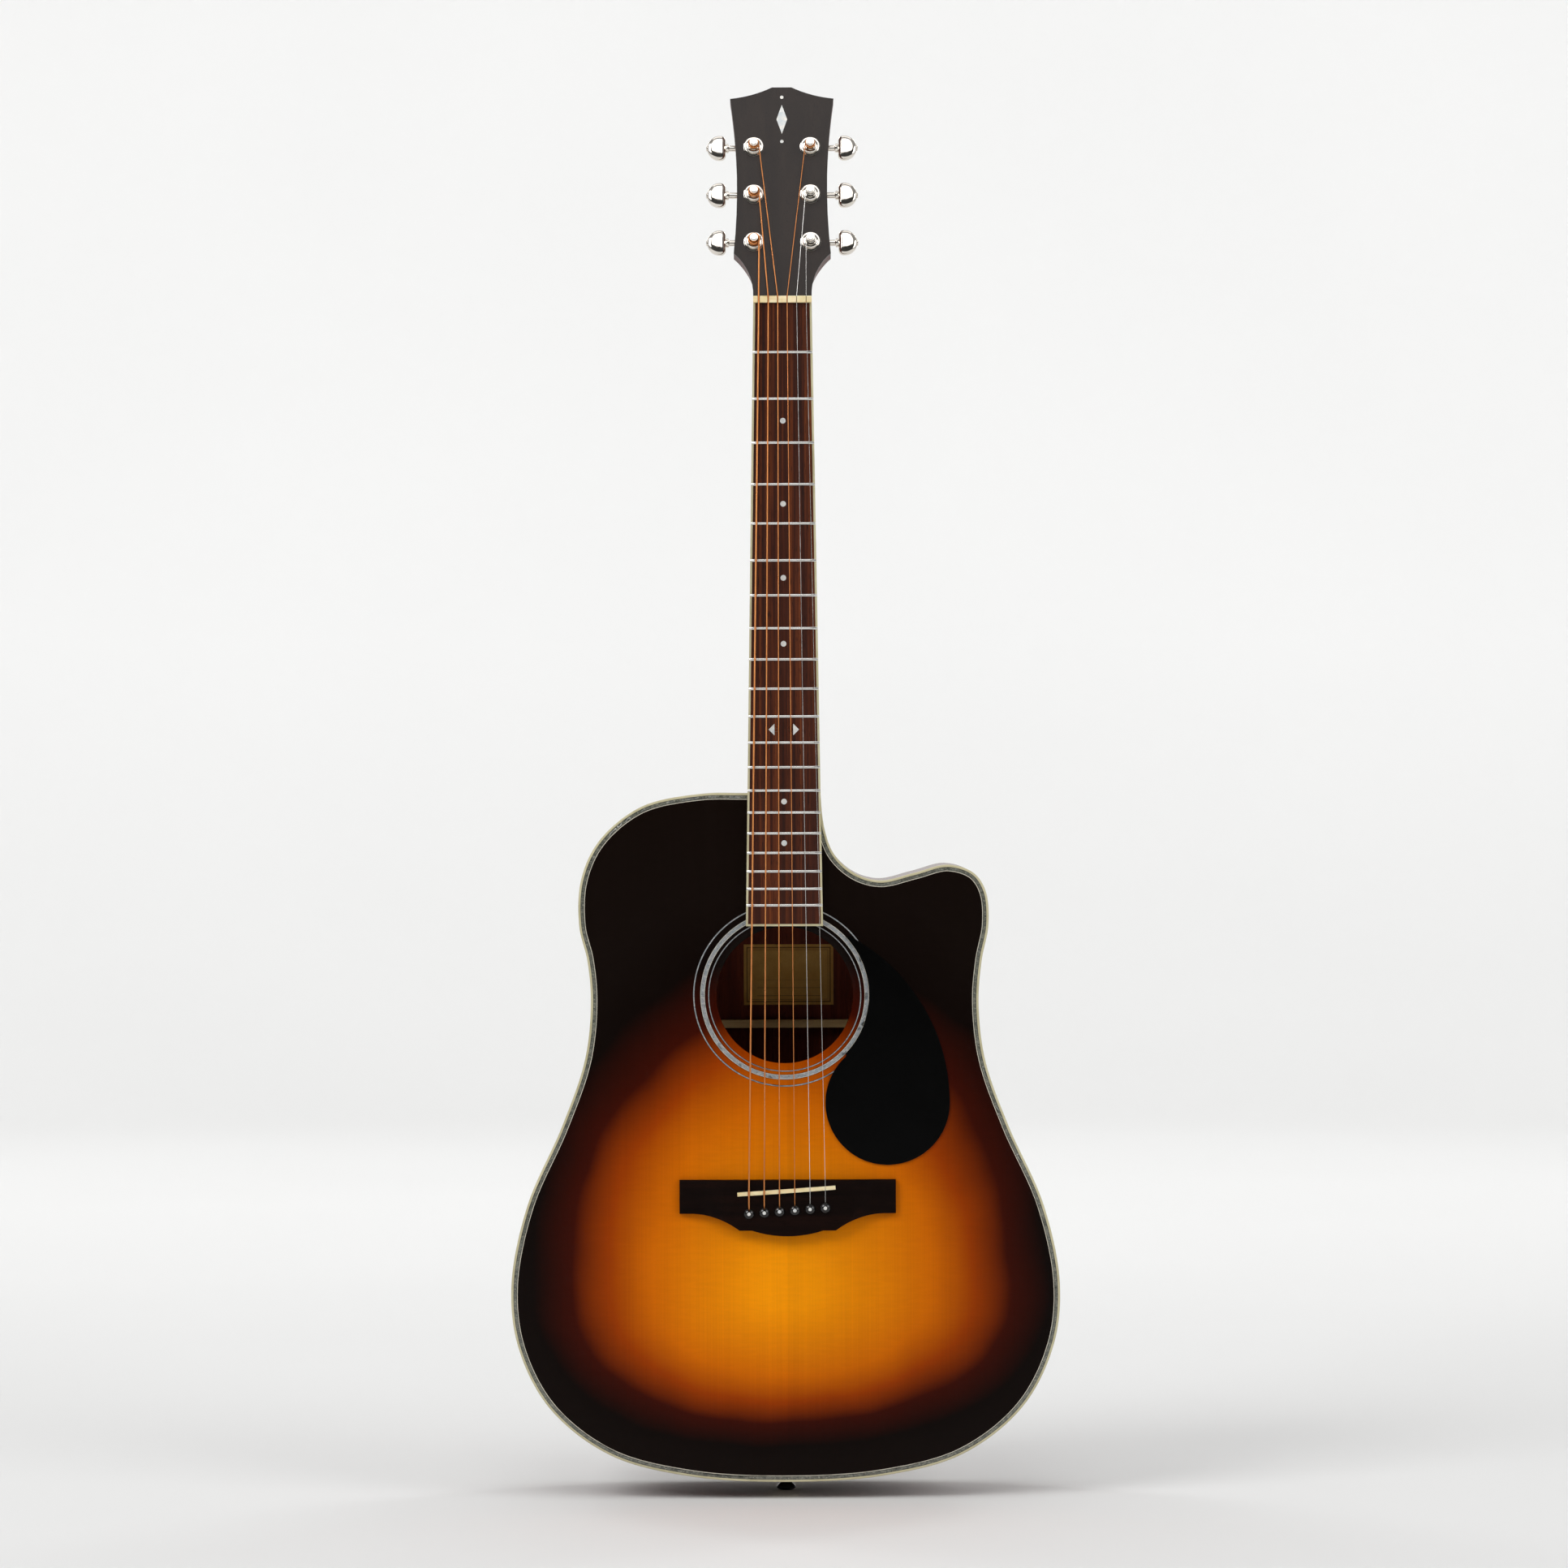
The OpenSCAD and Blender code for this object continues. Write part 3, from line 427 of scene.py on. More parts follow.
def spruce_burst():
    """Spruce under a sunburst: amber round the bridge, through red-brown, to near black, and
    darker soon below the bridge, partly as painted shade.
    """
    net = Net("spruce_burst", Specular_IOR_Level=0.055)
    x, y, z = net.parts()
    dx = net.math("SUBTRACT", x, BURST_X)
    px = net.math("ABSOLUTE", net.math("MULTIPLY", dx, 1 / BURST_SIDE))
    dz = net.math("SUBTRACT", z, BURST_Z + float(ORIGIN[2]))
    above = net.math("GREATER_THAN", dz, 0.0)
    # the reach down is short, so the burst darkens early towards the tail: partly the burst's
    # shape, partly painted shade
    reach = net.math("ADD", BURST_DOWN_WITH_SHADE, net.math("MULTIPLY", above, BURST_UP - BURST_DOWN_WITH_SHADE))
    pz = net.math("ABSOLUTE", net.math("DIVIDE", dz, reach))
    total = net.math(
        "ADD", net.math("POWER", px, BURST_POWER), net.math("POWER", pz, BURST_POWER)
    )
    far = net.math("POWER", total, 1 / BURST_POWER)
    drift = net.noise(net.scaled(net.place, 9, 9, 9), detail=2)
    far = net.math("ADD", far, net.span(drift, -0.035, 0.035, 0.3, 0.7))
    burst = net.ramp(
        net.math("MULTIPLY", far, 0.5, clamp=True),
        (0.05, AMBER), (0.33, ORANGE), (0.43, RUST), (0.52, RED_BROWN), (0.62, BLACK_BROWN),
        (0.74, DARK_BROWN),
    )
    # The two halves of the top are opened like a book along its seam
    seam = net.math("SUBTRACT", x, SEAM_X)
    folded = net.add(
        "ShaderNodeCombineXYZ", {0: net.math("ABSOLUTE", seam), 1: y, 2: z}
    ).outputs[0]
    line = net.noise(net.scaled(folded, 950, 1, 5), detail=4, rough=0.6)
    wide = net.noise(net.scaled(folded, 120, 1, 2.5), detail=3)
    silk = net.noise(net.scaled(folded, 60, 1, 420), detail=2, distort=0.8)
    shade = net.math("MULTIPLY", net.span(line, 0.93, 1.03, 0.3, 0.7),
                     net.span(wide, 0.97, 1.02, 0.3, 0.7))
    shade = net.math("MULTIPLY", shade, net.span(silk, 0.965, 1.03, 0.3, 0.7))
    side = net.math("GREATER_THAN", seam, 0.0)
    shade = net.math("MULTIPLY", shade, net.span(side, 1.03, 0.95))
    tint = net.add("ShaderNodeCombineColor", {0: shade, 1: shade, 2: shade}).outputs[0]
    colour = net.mix(1.0, burst, tint, "MULTIPLY")
    return net.set(
        Base_Color=colour,
        Roughness=net.span(line, 0.12, 0.2, 0.3, 0.7),
        Normal=net.bump(line, 0.04, 0.00005),
    )


def binding_plastic():
    net = Net("binding", Specular_IOR_Level=0.45, Coat_Weight=0.3, Coat_Roughness=0.15)
    flow = net.noise(net.scaled(net.place, 30, 30, 30), detail=3)
    layers = net.noise(net.scaled(net.place, 60, 900, 60), detail=2)
    colour = net.ramp(flow, (0.3, linear(182, 174, 140)), (0.7, linear(202, 194, 160)))
    colour = net.mix(net.span(layers, 0.0, 0.35, 0.4, 0.7), colour, linear(166, 156, 120))
    return net.set(Base_Color=colour, Roughness=net.span(flow, 0.25, 0.38, 0.3, 0.7))


def shell(name, tones, scale=420, metal=0.0):
    """Cut shell: patches of tone for small facets that lie at different angles, partly the shell's
    own colour and partly painted sheen, with lines of growth.
    """
    net = Net(name, Specular_IOR_Level=0.7, Coat_Weight=0.4, Coat_Roughness=0.08, Metallic=metal)
    wobble = net.noise(net.scaled(net.place, 300, 300, 300), detail=2)
    # each cell's tone is partly the shell's own colour and partly painted sheen of a facet
    # catching the light
    cells = net.add(
        "ShaderNodeTexVoronoi", {"Vector": net.scaled(net.place, 1, 1, 1.6), "Scale": scale}
    )
    pick = net.add("ShaderNodeSeparateColor", {"Color": cells.outputs["Color"]}).outputs[0]
    ripple = net.noise(net.scaled(net.place, 700, 700, 2200), detail=4, distort=1.6)
    stops = [(i / (len(tones) - 1), c) for i, c in enumerate(tones)]
    colour = net.ramp(pick, *stops)
    colour = net.mix(net.span(ripple, 0.0, 0.8, 0.35, 0.7), colour, tones[0])
    colour = net.mix(net.span(wobble, 0.0, 0.4, 0.45, 0.7), colour, tones[-1])
    return net.set(
        Base_Color=colour,
        Roughness=net.span(ripple, 0.12, 0.3, 0.3, 0.7),
        Normal=net.bump(ripple, 0.1, 0.00005),
    )


def line_plastic(name, tone):
    net = Net(name, Specular_IOR_Level=0.4)
    speck = net.noise(net.scaled(net.place, 500, 500, 500), detail=2)
    low = tuple(c * 0.8 for c in tone[:3]) + (1.0,)
    return net.set(
        Base_Color=net.ramp(speck, (0.3, low), (0.7, tone)), Roughness=net.span(speck, 0.25, 0.4)
    )


def gloss_plastic(name, tone, rough=(0.06, 0.14), specular=0.3, scratch=0.5):
    """Moulded or pressed plastic with faint wear scratches in its gloss."""
    net = Net(name, Specular_IOR_Level=specular)
    cloud = net.noise(net.scaled(net.place, 40, 40, 40), detail=3)
    hair = net.noise(net.scaled(net.place, 900, 60, 40, (0.0, 0.5, 0.0)), detail=3, rough=0.7)
    low = tuple(c * 0.8 for c in tone[:3]) + (1.0,)
    high = tuple(min(c * 1.2, 1) for c in tone[:3]) + (1.0,)
    worn = net.grey(hair, (0.62, 0.0), (0.72, 1.0))
    return net.set(
        Base_Color=net.ramp(cloud, (0.3, low), (0.7, high)),
        Roughness=net.math("ADD", net.span(cloud, rough[0], rough[1], 0.3, 0.7),
                           net.math("MULTIPLY", worn, 0.12 * scratch)),
        Normal=net.bump(hair, 0.02 * scratch, 0.00003),
    )


def metal(name, tone, dark, rough=(0.08, 0.2), brushed=(400, 400, 400), bump=0.03):
    net = Net(name, Metallic=1.0)
    smudge = net.noise(net.scaled(net.place, 45, 45, 45), detail=4)
    brush = net.noise(net.scaled(net.place, *brushed), detail=3)
    return net.set(
        Base_Color=net.ramp(smudge, (0.25, dark), (0.65, tone)),
        Roughness=net.math("ADD", net.span(smudge, rough[0], rough[1], 0.3, 0.7),
                           net.span(brush, -0.02, 0.04, 0.3, 0.7)),
        Normal=net.bump(brush, bump, 0.00003),
    )


def winding(name, tone, dark, turns):
    """A string's wound wire: ridges round the string, with painted shade in the grooves between
    the turns.
    """
    net = Net(name, Metallic=1.0)
    ridge = net.add(
        "ShaderNodeTexWave",
        {"Vector": net.scaled(net.uv(), 1, 0.35, 1), "Scale": turns, "Distortion": 0.0},
        wave_type="BANDS", bands_direction="X",
    ).outputs["Fac"]
    worn = net.noise(net.scaled(net.place, 60, 60, 25), detail=3)
    # painted shade: the grooves between the turns are darkened
    colour = net.mix(net.span(ridge, 0.75, 0.0, 0.0, 0.5), tone, dark)
    colour = net.mix(net.span(worn, 0.0, 0.3, 0.4, 0.7), colour, dark)
    return net.set(
        Base_Color=colour, Roughness=net.span(worn, 0.25, 0.4, 0.3, 0.7),
        Normal=net.bump(ridge, 0.5, 0.0001),
    )


def bone():
    net = Net("bone", Subsurface_Weight=0.15, Subsurface_Scale=0.002, Specular_IOR_Level=0.5)
    streak = net.noise(net.scaled(net.place, 60, 900, 900), detail=4, distort=0.5)
    cloud = net.noise(net.scaled(net.place, 120, 120, 120), detail=2)
    colour = net.ramp(cloud, (0.3, linear(226, 204, 150)), (0.7, linear(242, 228, 190)))
    colour = net.mix(net.span(streak, 0.0, 0.5, 0.5, 0.72), colour, linear(204, 172, 108))
    return net.set(
        Base_Color=colour, Roughness=net.span(cloud, 0.3, 0.45, 0.3, 0.7),
        Normal=net.bump(streak, 0.06, 0.00005),
    )


# Middle and half size of the label, in metres
LABEL_X, LABEL_Z, LABEL_HALF_W, LABEL_HALF_H = 0.003, 0.372, 0.034, 0.023


def paper():
    """A cream label with a printed frame and blank ruled lines."""
    net = Net("paper", Specular_IOR_Level=0.2)
    x, _, z = net.parts()
    mid = LABEL_Z + float(ORIGIN[2])
    ax = net.math("ABSOLUTE", net.math("SUBTRACT", x, LABEL_X))
    az = net.math("ABSOLUTE", net.math("SUBTRACT", z, mid))

    def frame_line(inset, half):
        """1 on a printed rectangle that lies inset in from the label's edge."""
        dx = net.math("SUBTRACT", ax, LABEL_HALF_W - inset)
        dz = net.math("SUBTRACT", az, LABEL_HALF_H - inset)
        edge = net.math("ABSOLUTE", net.math("MAXIMUM", dx, dz))
        return net.math("LESS_THAN", edge, half)

    def band(low, high, value):
        return net.math("MULTIPLY", net.math("GREATER_THAN", value, low),
                        net.math("LESS_THAN", value, high))

    lines = net.math("MAXIMUM", frame_line(0.0025, 0.0005), frame_line(0.0042, 0.00018))
    dz = net.math("SUBTRACT", z, mid)
    rows = net.math("LESS_THAN", net.math("PINGPONG", net.math("ADD", dz, 0.1), 0.003), 0.00016)
    rows = net.math("MULTIPLY", rows, band(-0.0165, -0.004, dz))
    rows = net.math("MULTIPLY", rows, net.math("LESS_THAN", ax, 0.024))
    lines = net.math("MAXIMUM", lines, rows)
    fibre = net.noise(net.scaled(net.place, 900, 900, 700), detail=5)
    stain = net.noise(net.scaled(net.place, 50, 50, 50), detail=3)
    colour = net.ramp(stain, (0.3, linear(186, 138, 66)), (0.7, linear(204, 158, 84)))
    colour = net.mix(net.math("MULTIPLY", lines, 0.75), colour, linear(92, 58, 30))
    colour = net.mix(net.span(fibre, 0.0, 0.2, 0.4, 0.7), colour, linear(168, 118, 54))
    return net.set(
        Base_Color=colour, Roughness=net.span(fibre, 0.7, 0.9, 0.3, 0.7),
        Normal=net.bump(fibre, 0.15, 0.00005),
    )


SPRUCE_IN = dict(dark=linear(186, 148, 92), mid=linear(214, 180, 124), light=linear(230, 202, 150))
MAHOGANY = dict(dark=linear(58, 18, 10), mid=linear(92, 32, 16), light=linear(122, 48, 22))
finish = {
    "spruce_burst": spruce_burst(),
    "mahogany": wood("mahogany", **MAHOGANY, figure=70, Specular_IOR_Level=0.25,
                     Coat_Weight=0.2, Coat_Roughness=0.06),
    "mahogany_inside": wood("mahogany_inside", linear(66, 22, 9), linear(98, 36, 15),
                            linear(122, 50, 22), rough=(0.6, 0.75), bump=0.25,
                            Specular_IOR_Level=0.2),
    "mahogany_bent": wood("mahogany_bent", **MAHOGANY, along="uv", figure=70,
                          Specular_IOR_Level=0.25, Coat_Weight=0.2, Coat_Roughness=0.06),
    "inner_wood": wood("inner_wood", linear(120, 70, 38), linear(158, 100, 58),
                       linear(186, 128, 78), rough=(0.55, 0.7), bump=0.3),
    "brace_spruce": wood("brace_spruce", **SPRUCE_IN, along="x", fine=900, pores=0.1,
                         rough=(0.55, 0.7), bump=0.2),
    "neck_wood": wood("neck_wood", linear(52, 20, 12), linear(78, 32, 18), linear(98, 44, 24),
                      rough=(0.34, 0.46), Specular_IOR_Level=0.3),
    "rosewood": wood("rosewood", linear(26, 9, 5), linear(64, 25, 9), linear(116, 57, 22),
                     fine=1100, figure=330, pores=0.8, rough=(0.42, 0.58), bump=0.3,
                     Specular_IOR_Level=0.2),
    "ebony": wood("ebony", linear(8, 3, 2), linear(15, 6, 4), linear(28, 12, 7), along="x",
                  fine=1100, figure=140, pores=0.7, rough=(0.4, 0.55), bump=0.25,
                  Specular_IOR_Level=0.05),
    "veneer": wood("veneer", linear(28, 19, 15), linear(35, 25, 20), linear(42, 31, 25),
                   pores=0.6, rough=(0.3, 0.4), bump=0.15, Specular_IOR_Level=0.4),
    "binding": binding_plastic(),
    "pearl": shell("pearl", [linear(206, 204, 198), linear(226, 228, 226), linear(190, 200, 206),
                             linear(236, 230, 220)], 260),
    "abalone": shell("abalone", [linear(112, 116, 118), linear(150, 156, 158),
                                 linear(128, 140, 146), linear(176, 176, 172),
                                 linear(138, 134, 140)], 620),
    "dark_abalone": shell("dark_abalone", [linear(58, 60, 54), linear(104, 104, 92),
                                           linear(74, 78, 72), linear(142, 142, 128)], 900),
    "line_black": line_plastic("line_black", linear(22, 18, 16)),
    "line_white": line_plastic("line_white", linear(214, 208, 190)),
    "bone": bone(),
    "guard_plastic": gloss_plastic("guard_plastic", linear(3, 3, 3), specular=0.06, scratch=0.3),
    "pin_plastic": gloss_plastic("pin_plastic", linear(14, 13, 13), specular=0.5, scratch=0.2),
    "paper": paper(),
    "chrome": metal("chrome", (0.86, 0.81, 0.74, 1), (0.74, 0.69, 0.62, 1), rough=(0.04, 0.1)),
    "rod_steel": metal("rod_steel", (0.52, 0.5, 0.47, 1), (0.34, 0.32, 0.3, 1),
                       rough=(0.3, 0.5), brushed=(500, 500, 40)),
    "fret_steel": metal("fret_steel", (0.84, 0.83, 0.8, 1), (0.68, 0.67, 0.63, 1),
                        rough=(0.14, 0.26), brushed=(60, 600, 900)),
    "bronze": winding("bronze", linear(236, 158, 96), linear(150, 82, 44), 620),
    "string_steel": metal("string_steel", (0.8, 0.79, 0.76, 1), (0.6, 0.59, 0.57, 1),
                          rough=(0.18, 0.3), brushed=(900, 900, 30)),
}


# ------------------------------------------------------------------ soundboard and rim
def flat_circle(x, z, r, y, steps):
    return [
        (x + r * math.cos(2 * math.pi * k / steps), y, z + r * math.sin(2 * math.pi * k / steps))
        for k in range(steps)
    ]


def upright(x, z):
    """put() for a lathe whose axis runs from front to back at x, z."""
    return lambda a, b, h: (x + a, h, z + b)


PIN_GAP, PIN_MID, SADDLE_MID = 11.28, (1.3, 201.3), (0.8, 216)
RADII = [0.67, 0.53, 0.41, 0.31, 0.2, 0.15]
PIN_TILT, SADDLE_TILT = math.radians(4.3), math.radians(3.9)
PIN_HOLE_R, HOLE_LIP_R, ROSE_R = 3.5, 51.1, 72


def pin_at(i):
    step = (i - 2.5) * PIN_GAP
    return PIN_MID[0] + step, PIN_MID[1] + step * math.tan(PIN_TILT)


BANDS = [
    (55.75, 56.0, "line_black"), (56.0, 56.6, "abalone"), (56.6, 56.85, "line_black"),
    (58.85, 59.2, "line_black"), (59.2, 59.45, "line_white"), (59.45, 62.15, "abalone"),
    (62.15, 62.4, "line_white"), (62.4, 62.75, "line_black"), (66.65, 66.9, "line_black"),
    (66.9, 67.7, "abalone"), (67.7, 67.95, "line_black"),
]
CHANNELS = [(55.75, 56.85), (58.85, 62.75), (66.65, 67.95)]
ROSE_STEPS = 144


def soundboard():
    s = Shape()
    edge = [(PURF_IN, 0), (PURF_IN, PURF_T), (BIND_W, PURF_T), (BIND_W, TOP_T)]
    rings = rim_rings(edge, RIM)
    s.skin(rings, loop=True, closed=False)
    profile = [(HOLE_LIP_R, TOP_T), (50.65, 2.68), (HOLE_R, 2.3), (HOLE_R, 0.5), (50.62, 0.15),
               (51, 0)]
    for a, b in CHANNELS:
        profile += [(a, 0), (a, 0.5), (b, 0.5), (b, 0)]
    profile.append((ROSE_R, 0))
    s.lathe(profile, upright(0, HOLE_Z), ROSE_STEPS)
    holes = [pin_at(i) for i in range(6)]
    for x, z in holes:
        s.lathe([(PIN_HOLE_R, 0), (PIN_HOLE_R, TOP_T)], upright(x, z), 16)
    for y, ring, radius in ((0, 0, ROSE_R), (TOP_T, 3, HOLE_LIP_R)):
        outer = [r[ring] for r in rings]
        inner = [flat_circle(0, HOLE_Z, radius, y, ROSE_STEPS)]
        s.fill([outer] + inner + [flat_circle(x, z, PIN_HOLE_R, y, 16) for x, z in holes])
    return s.build("soundboard_top", [finish["spruce_burst"]], ["soundboard"])


def rosette():
    s = Shape()
    names = ["abalone", "line_black", "line_white"]
    for a, b, tone in BANDS:
        s.lathe([(a, 0), (b, 0), (b, 0.5), (a, 0.5)], upright(0, HOLE_Z), ROSE_STEPS,
                closed=True, number=names.index(tone))
    return s.build("rosette_rings", [finish[n] for n in names], ["rosette"])


def purfling():
    s = Shape()
    names = ["dark_abalone", "line_black", "line_white"]
    bands = [(1.7, 2.0, "line_black"), (2.0, 4.0, "dark_abalone"), (4.0, 4.35, "line_black"),
             (4.35, 4.8, "line_white")]
    for a, b, tone in bands:
        section = [(a, 0), (b, 0), (b, PURF_T), (a, PURF_T)]
        s.skin(rim_rings(section, RIM), loop=True, number=names.index(tone))
    return s.build("purfling_rings", [finish[n] for n in names], ["purfling"])


def bindings():
    s = Shape()
    section = [(BIND_W, 0), (0.8, 0), (0.4, 0.12), (0.12, 0.4), (0, 0.8), (0, BIND_H),
               (BIND_W, BIND_H)]
    s.skin(rim_rings(section, RIM), loop=True)
    s.build("binding_front_edge", [finish["binding"]], ["binding_top"])
    s = Shape()
    section = [(BIND_W, behind(0)), (0.8, behind(0)), (0.4, behind(0.12)), (0.12, behind(0.4)),
               (0, behind(0.8)), (0, behind(BIND_H)), (BIND_W, behind(BIND_H))]
    s.skin(rim_rings(section, RIM), loop=True)
    s.build("binding_back_edge", [finish["binding"]], ["binding_back"])


def sides():
    wall = [
        (BIND_W, TOP_T), (BIND_W, BIND_H), (0, BIND_H), (0, behind(BIND_H)),
        (BIND_W, behind(BIND_H)), (BIND_W, behind(BACK_T)), (SIDE_T, behind(BACK_T)),
        (SIDE_T, TOP_T),
    ]
    middle = next(i for i, s in enumerate(RIM_NECK) if s[0][0] == 0)
    bass = RIM_NECK[middle:] + RIM_BASS + RIM_GRAFT[:1]
    treble = RIM_GRAFT[-1:] + RIM_TREBLE + RIM_NECK[:middle + 1]
    for name, node, stations, tone in (
        ("side_bass_wall", "side_bass", bass, "mahogany_bent"),
        ("side_treble_wall", "side_treble", treble, "mahogany_bent"),
        ("end_graft_inlay", "end_graft", RIM_GRAFT, "binding"),
    ):
        s = Shape()
        s.skin(rim_rings(wall, stations))
        s.build(name, [finish[tone]], [node])


def back_plate():
    """The arched back, cut into narrow strips so that it bends smoothly."""
    bm = bmesh.new()
    loop = [p + BIND_W * n for p, n in RIM]
    bm.faces.new([bm.verts.new((q[0], 0, q[1])) for q in loop])
    for x in range(-192, 193, 16):
        bmesh.ops.bisect_plane(
            bm, geom=bm.verts[:] + bm.edges[:] + bm.faces[:], plane_co=(x + 0.003, 0, 0),
            plane_no=(1, 0, 0),
        )
    made = bmesh.ops.extrude_face_region(bm, geom=bm.faces[:], use_keep_orig=True)
    outer = {v for v in made["geom"] if isinstance(v, bmesh.types.BMVert)}
    for v in bm.verts:
        depth = back((v.co.x, v.co.z), 0 if v in outer else BACK_T)
        v.co = Vector((v.co.x, depth, v.co.z))
    s = Shape()
    bm.verts.index_update()
    s.points = [tuple(v.co) for v in bm.verts]
    for f in bm.faces:
        inside = not any(v in outer for v in f.verts)
        s.face([v.index for v in f.verts], int(inside))
    bm.free()
    tones = [finish["mahogany"], finish["mahogany_inside"]]
    return s.build("back_arched", tones, ["back_plate"])


# ------------------------------------------------------------------ neck
NUT_W, BOARD_END_W, BOARD_END_Z = 43.3, 57, 411.5
NECK_DEPTH_NUT, NECK_DEPTH_HEEL = 14.5, 17
ACROSS = 41     # points across each section of the neck


def board_half(z):
    return (NUT_W + (BOARD_END_W - NUT_W) * (NUT_Z - z) / (NUT_Z - BOARD_END_Z)) / 2


def neck_depth(z):
    along = (z - BODY_L) / (NUT_Z - BODY_L)
    return NECK_DEPTH_HEEL + (NECK_DEPTH_NUT - NECK_DEPTH_HEEL) * along


def arc_section(half, depth):
    r = (half**2 + depth**2) / (2 * depth)
    reach = math.acos((r - depth) / r)
    return [
        (r * math.sin(a), depth - r + r * math.cos(a))
        for a in np.linspace(reach, -reach, ACROSS)
    ]


def block_section(half, depth, r=1.6):
    """A flat-backed section with two rounded edges."""
    one = [(half, t) for t in np.linspace(0, depth - r, 7)]
    one += [
        (half - r + r * math.cos(a), depth - r + r * math.sin(a))
        for a in np.linspace(0, math.pi / 2, 7)[1:-1]
    ]
    flat = [(x, depth) for x in np.linspace(half - r, r - half, 17)]
    return one + flat + [(-x, y) for x, y in reversed(one)]


HEEL_DEPTH, HEEL_W, HEEL_END_W, HEEL_REACH, HEEL_END_REACH = 97.8, 26.6, 12, 44, 16


def heel_gap(x, y, dz, half, depth):
    """Below zero inside the neck and heel together, which flow into each other."""
    r = (half**2 + depth**2) / (2 * depth)
    neck = np.hypot(x, y - (depth - r)) - r
    t = np.clip(y / HEEL_DEPTH, 0, 1)
    wide = HEEL_W - (HEEL_W - HEEL_END_W) * t**0.8
    reach = HEEL_END_REACH + (HEEL_REACH - HEEL_END_REACH) * (1 - t) ** 2.2
    heel = (np.hypot(x / wide, dz / reach) - 1) * np.minimum(wide, reach) * 0.8
    heel = np.maximum(heel, y - HEEL_DEPTH)
    soft = np.maximum(0.01, 7 * np.clip((y - 3) / 12, 0, 1))
    h = np.clip(0.5 + 0.5 * (heel - neck) / soft, 0, 1)
    return heel * (1 - h) + neck * h - soft * h * (1 - h)


def heel_section(dz):
    z = BODY_L + dz
    half, depth = board_half(z), neck_depth(z)
    arc = np.array(arc_section(half, depth))
    arc_angle = np.arctan2(arc[:, 1], arc[:, 0])
    corner = max(HEEL_END_W * math.sqrt(max(0, 1 - (dz / HEEL_END_REACH) ** 2)), 2.5)
    side = [(half + (corner - half) * t, HEEL_DEPTH * t) for t in np.linspace(0, 1, 15)]
    deep = side + [(corner * (1 - t), HEEL_DEPTH) for t in np.linspace(0, 1, 7)[1:]]
    deep = np.array(deep + [(-x, y) for x, y in reversed(deep[:-1])])
    deep_angle = np.arctan2(deep[:, 1], deep[:, 0])
    w = smooth((dz - 14) / 34)
    a = deep_angle * (1 - w) + arc_angle * w
    way = np.stack([np.cos(a), np.sin(a)], 1)
    low, high = np.zeros(ACROSS), np.full(ACROSS, 150.0)
    for _ in range(40):
        mid = (low + high) / 2
        inside = heel_gap(way[:, 0] * mid, way[:, 1] * mid, dz, half, depth) < 0
        low, high = np.where(inside, mid, low), np.where(inside, high, mid)
    out = way * low[:, None]
    out[0], out[-1] = (half, 0), (-half, 0)
    return out


def bow(a, b, off, steps=16):
    """An arc from a to b that stands off its chord, to the left of the way there."""
    a, b = np.array(a, float), np.array(b, float)
    half = np.linalg.norm(b - a) / 2
    r = (half**2 + off**2) / (2 * off)
    along = (b - a) / (2 * half)
    left = np.array([-along[1], along[0]])
    centre = (a + b) / 2 + left * (off - r)
    reach = math.asin(half / abs(r))
    sign = -1 if off < 0 else 1
    return [
        centre + r * (left * math.cos(t) + sign * along * math.sin(t))
        for t in (reach * (2 * i / steps - 1) for i in range(steps))
    ]


HEAD_CORNER, HEAD_HORN, HEAD_TOP = (36, 33.6), (38.6, 155.4), (7.2, 164.4)
HEAD_SIDE = (
    bow((21.65, 0), HEAD_CORNER, 4.1) + bow(HEAD_CORNER, HEAD_HORN, 3.7)
    + bow(HEAD_HORN, HEAD_TOP, 1.5) + [np.array(HEAD_TOP)]
)


BORE_R = 5.02   # the holes for the tuners


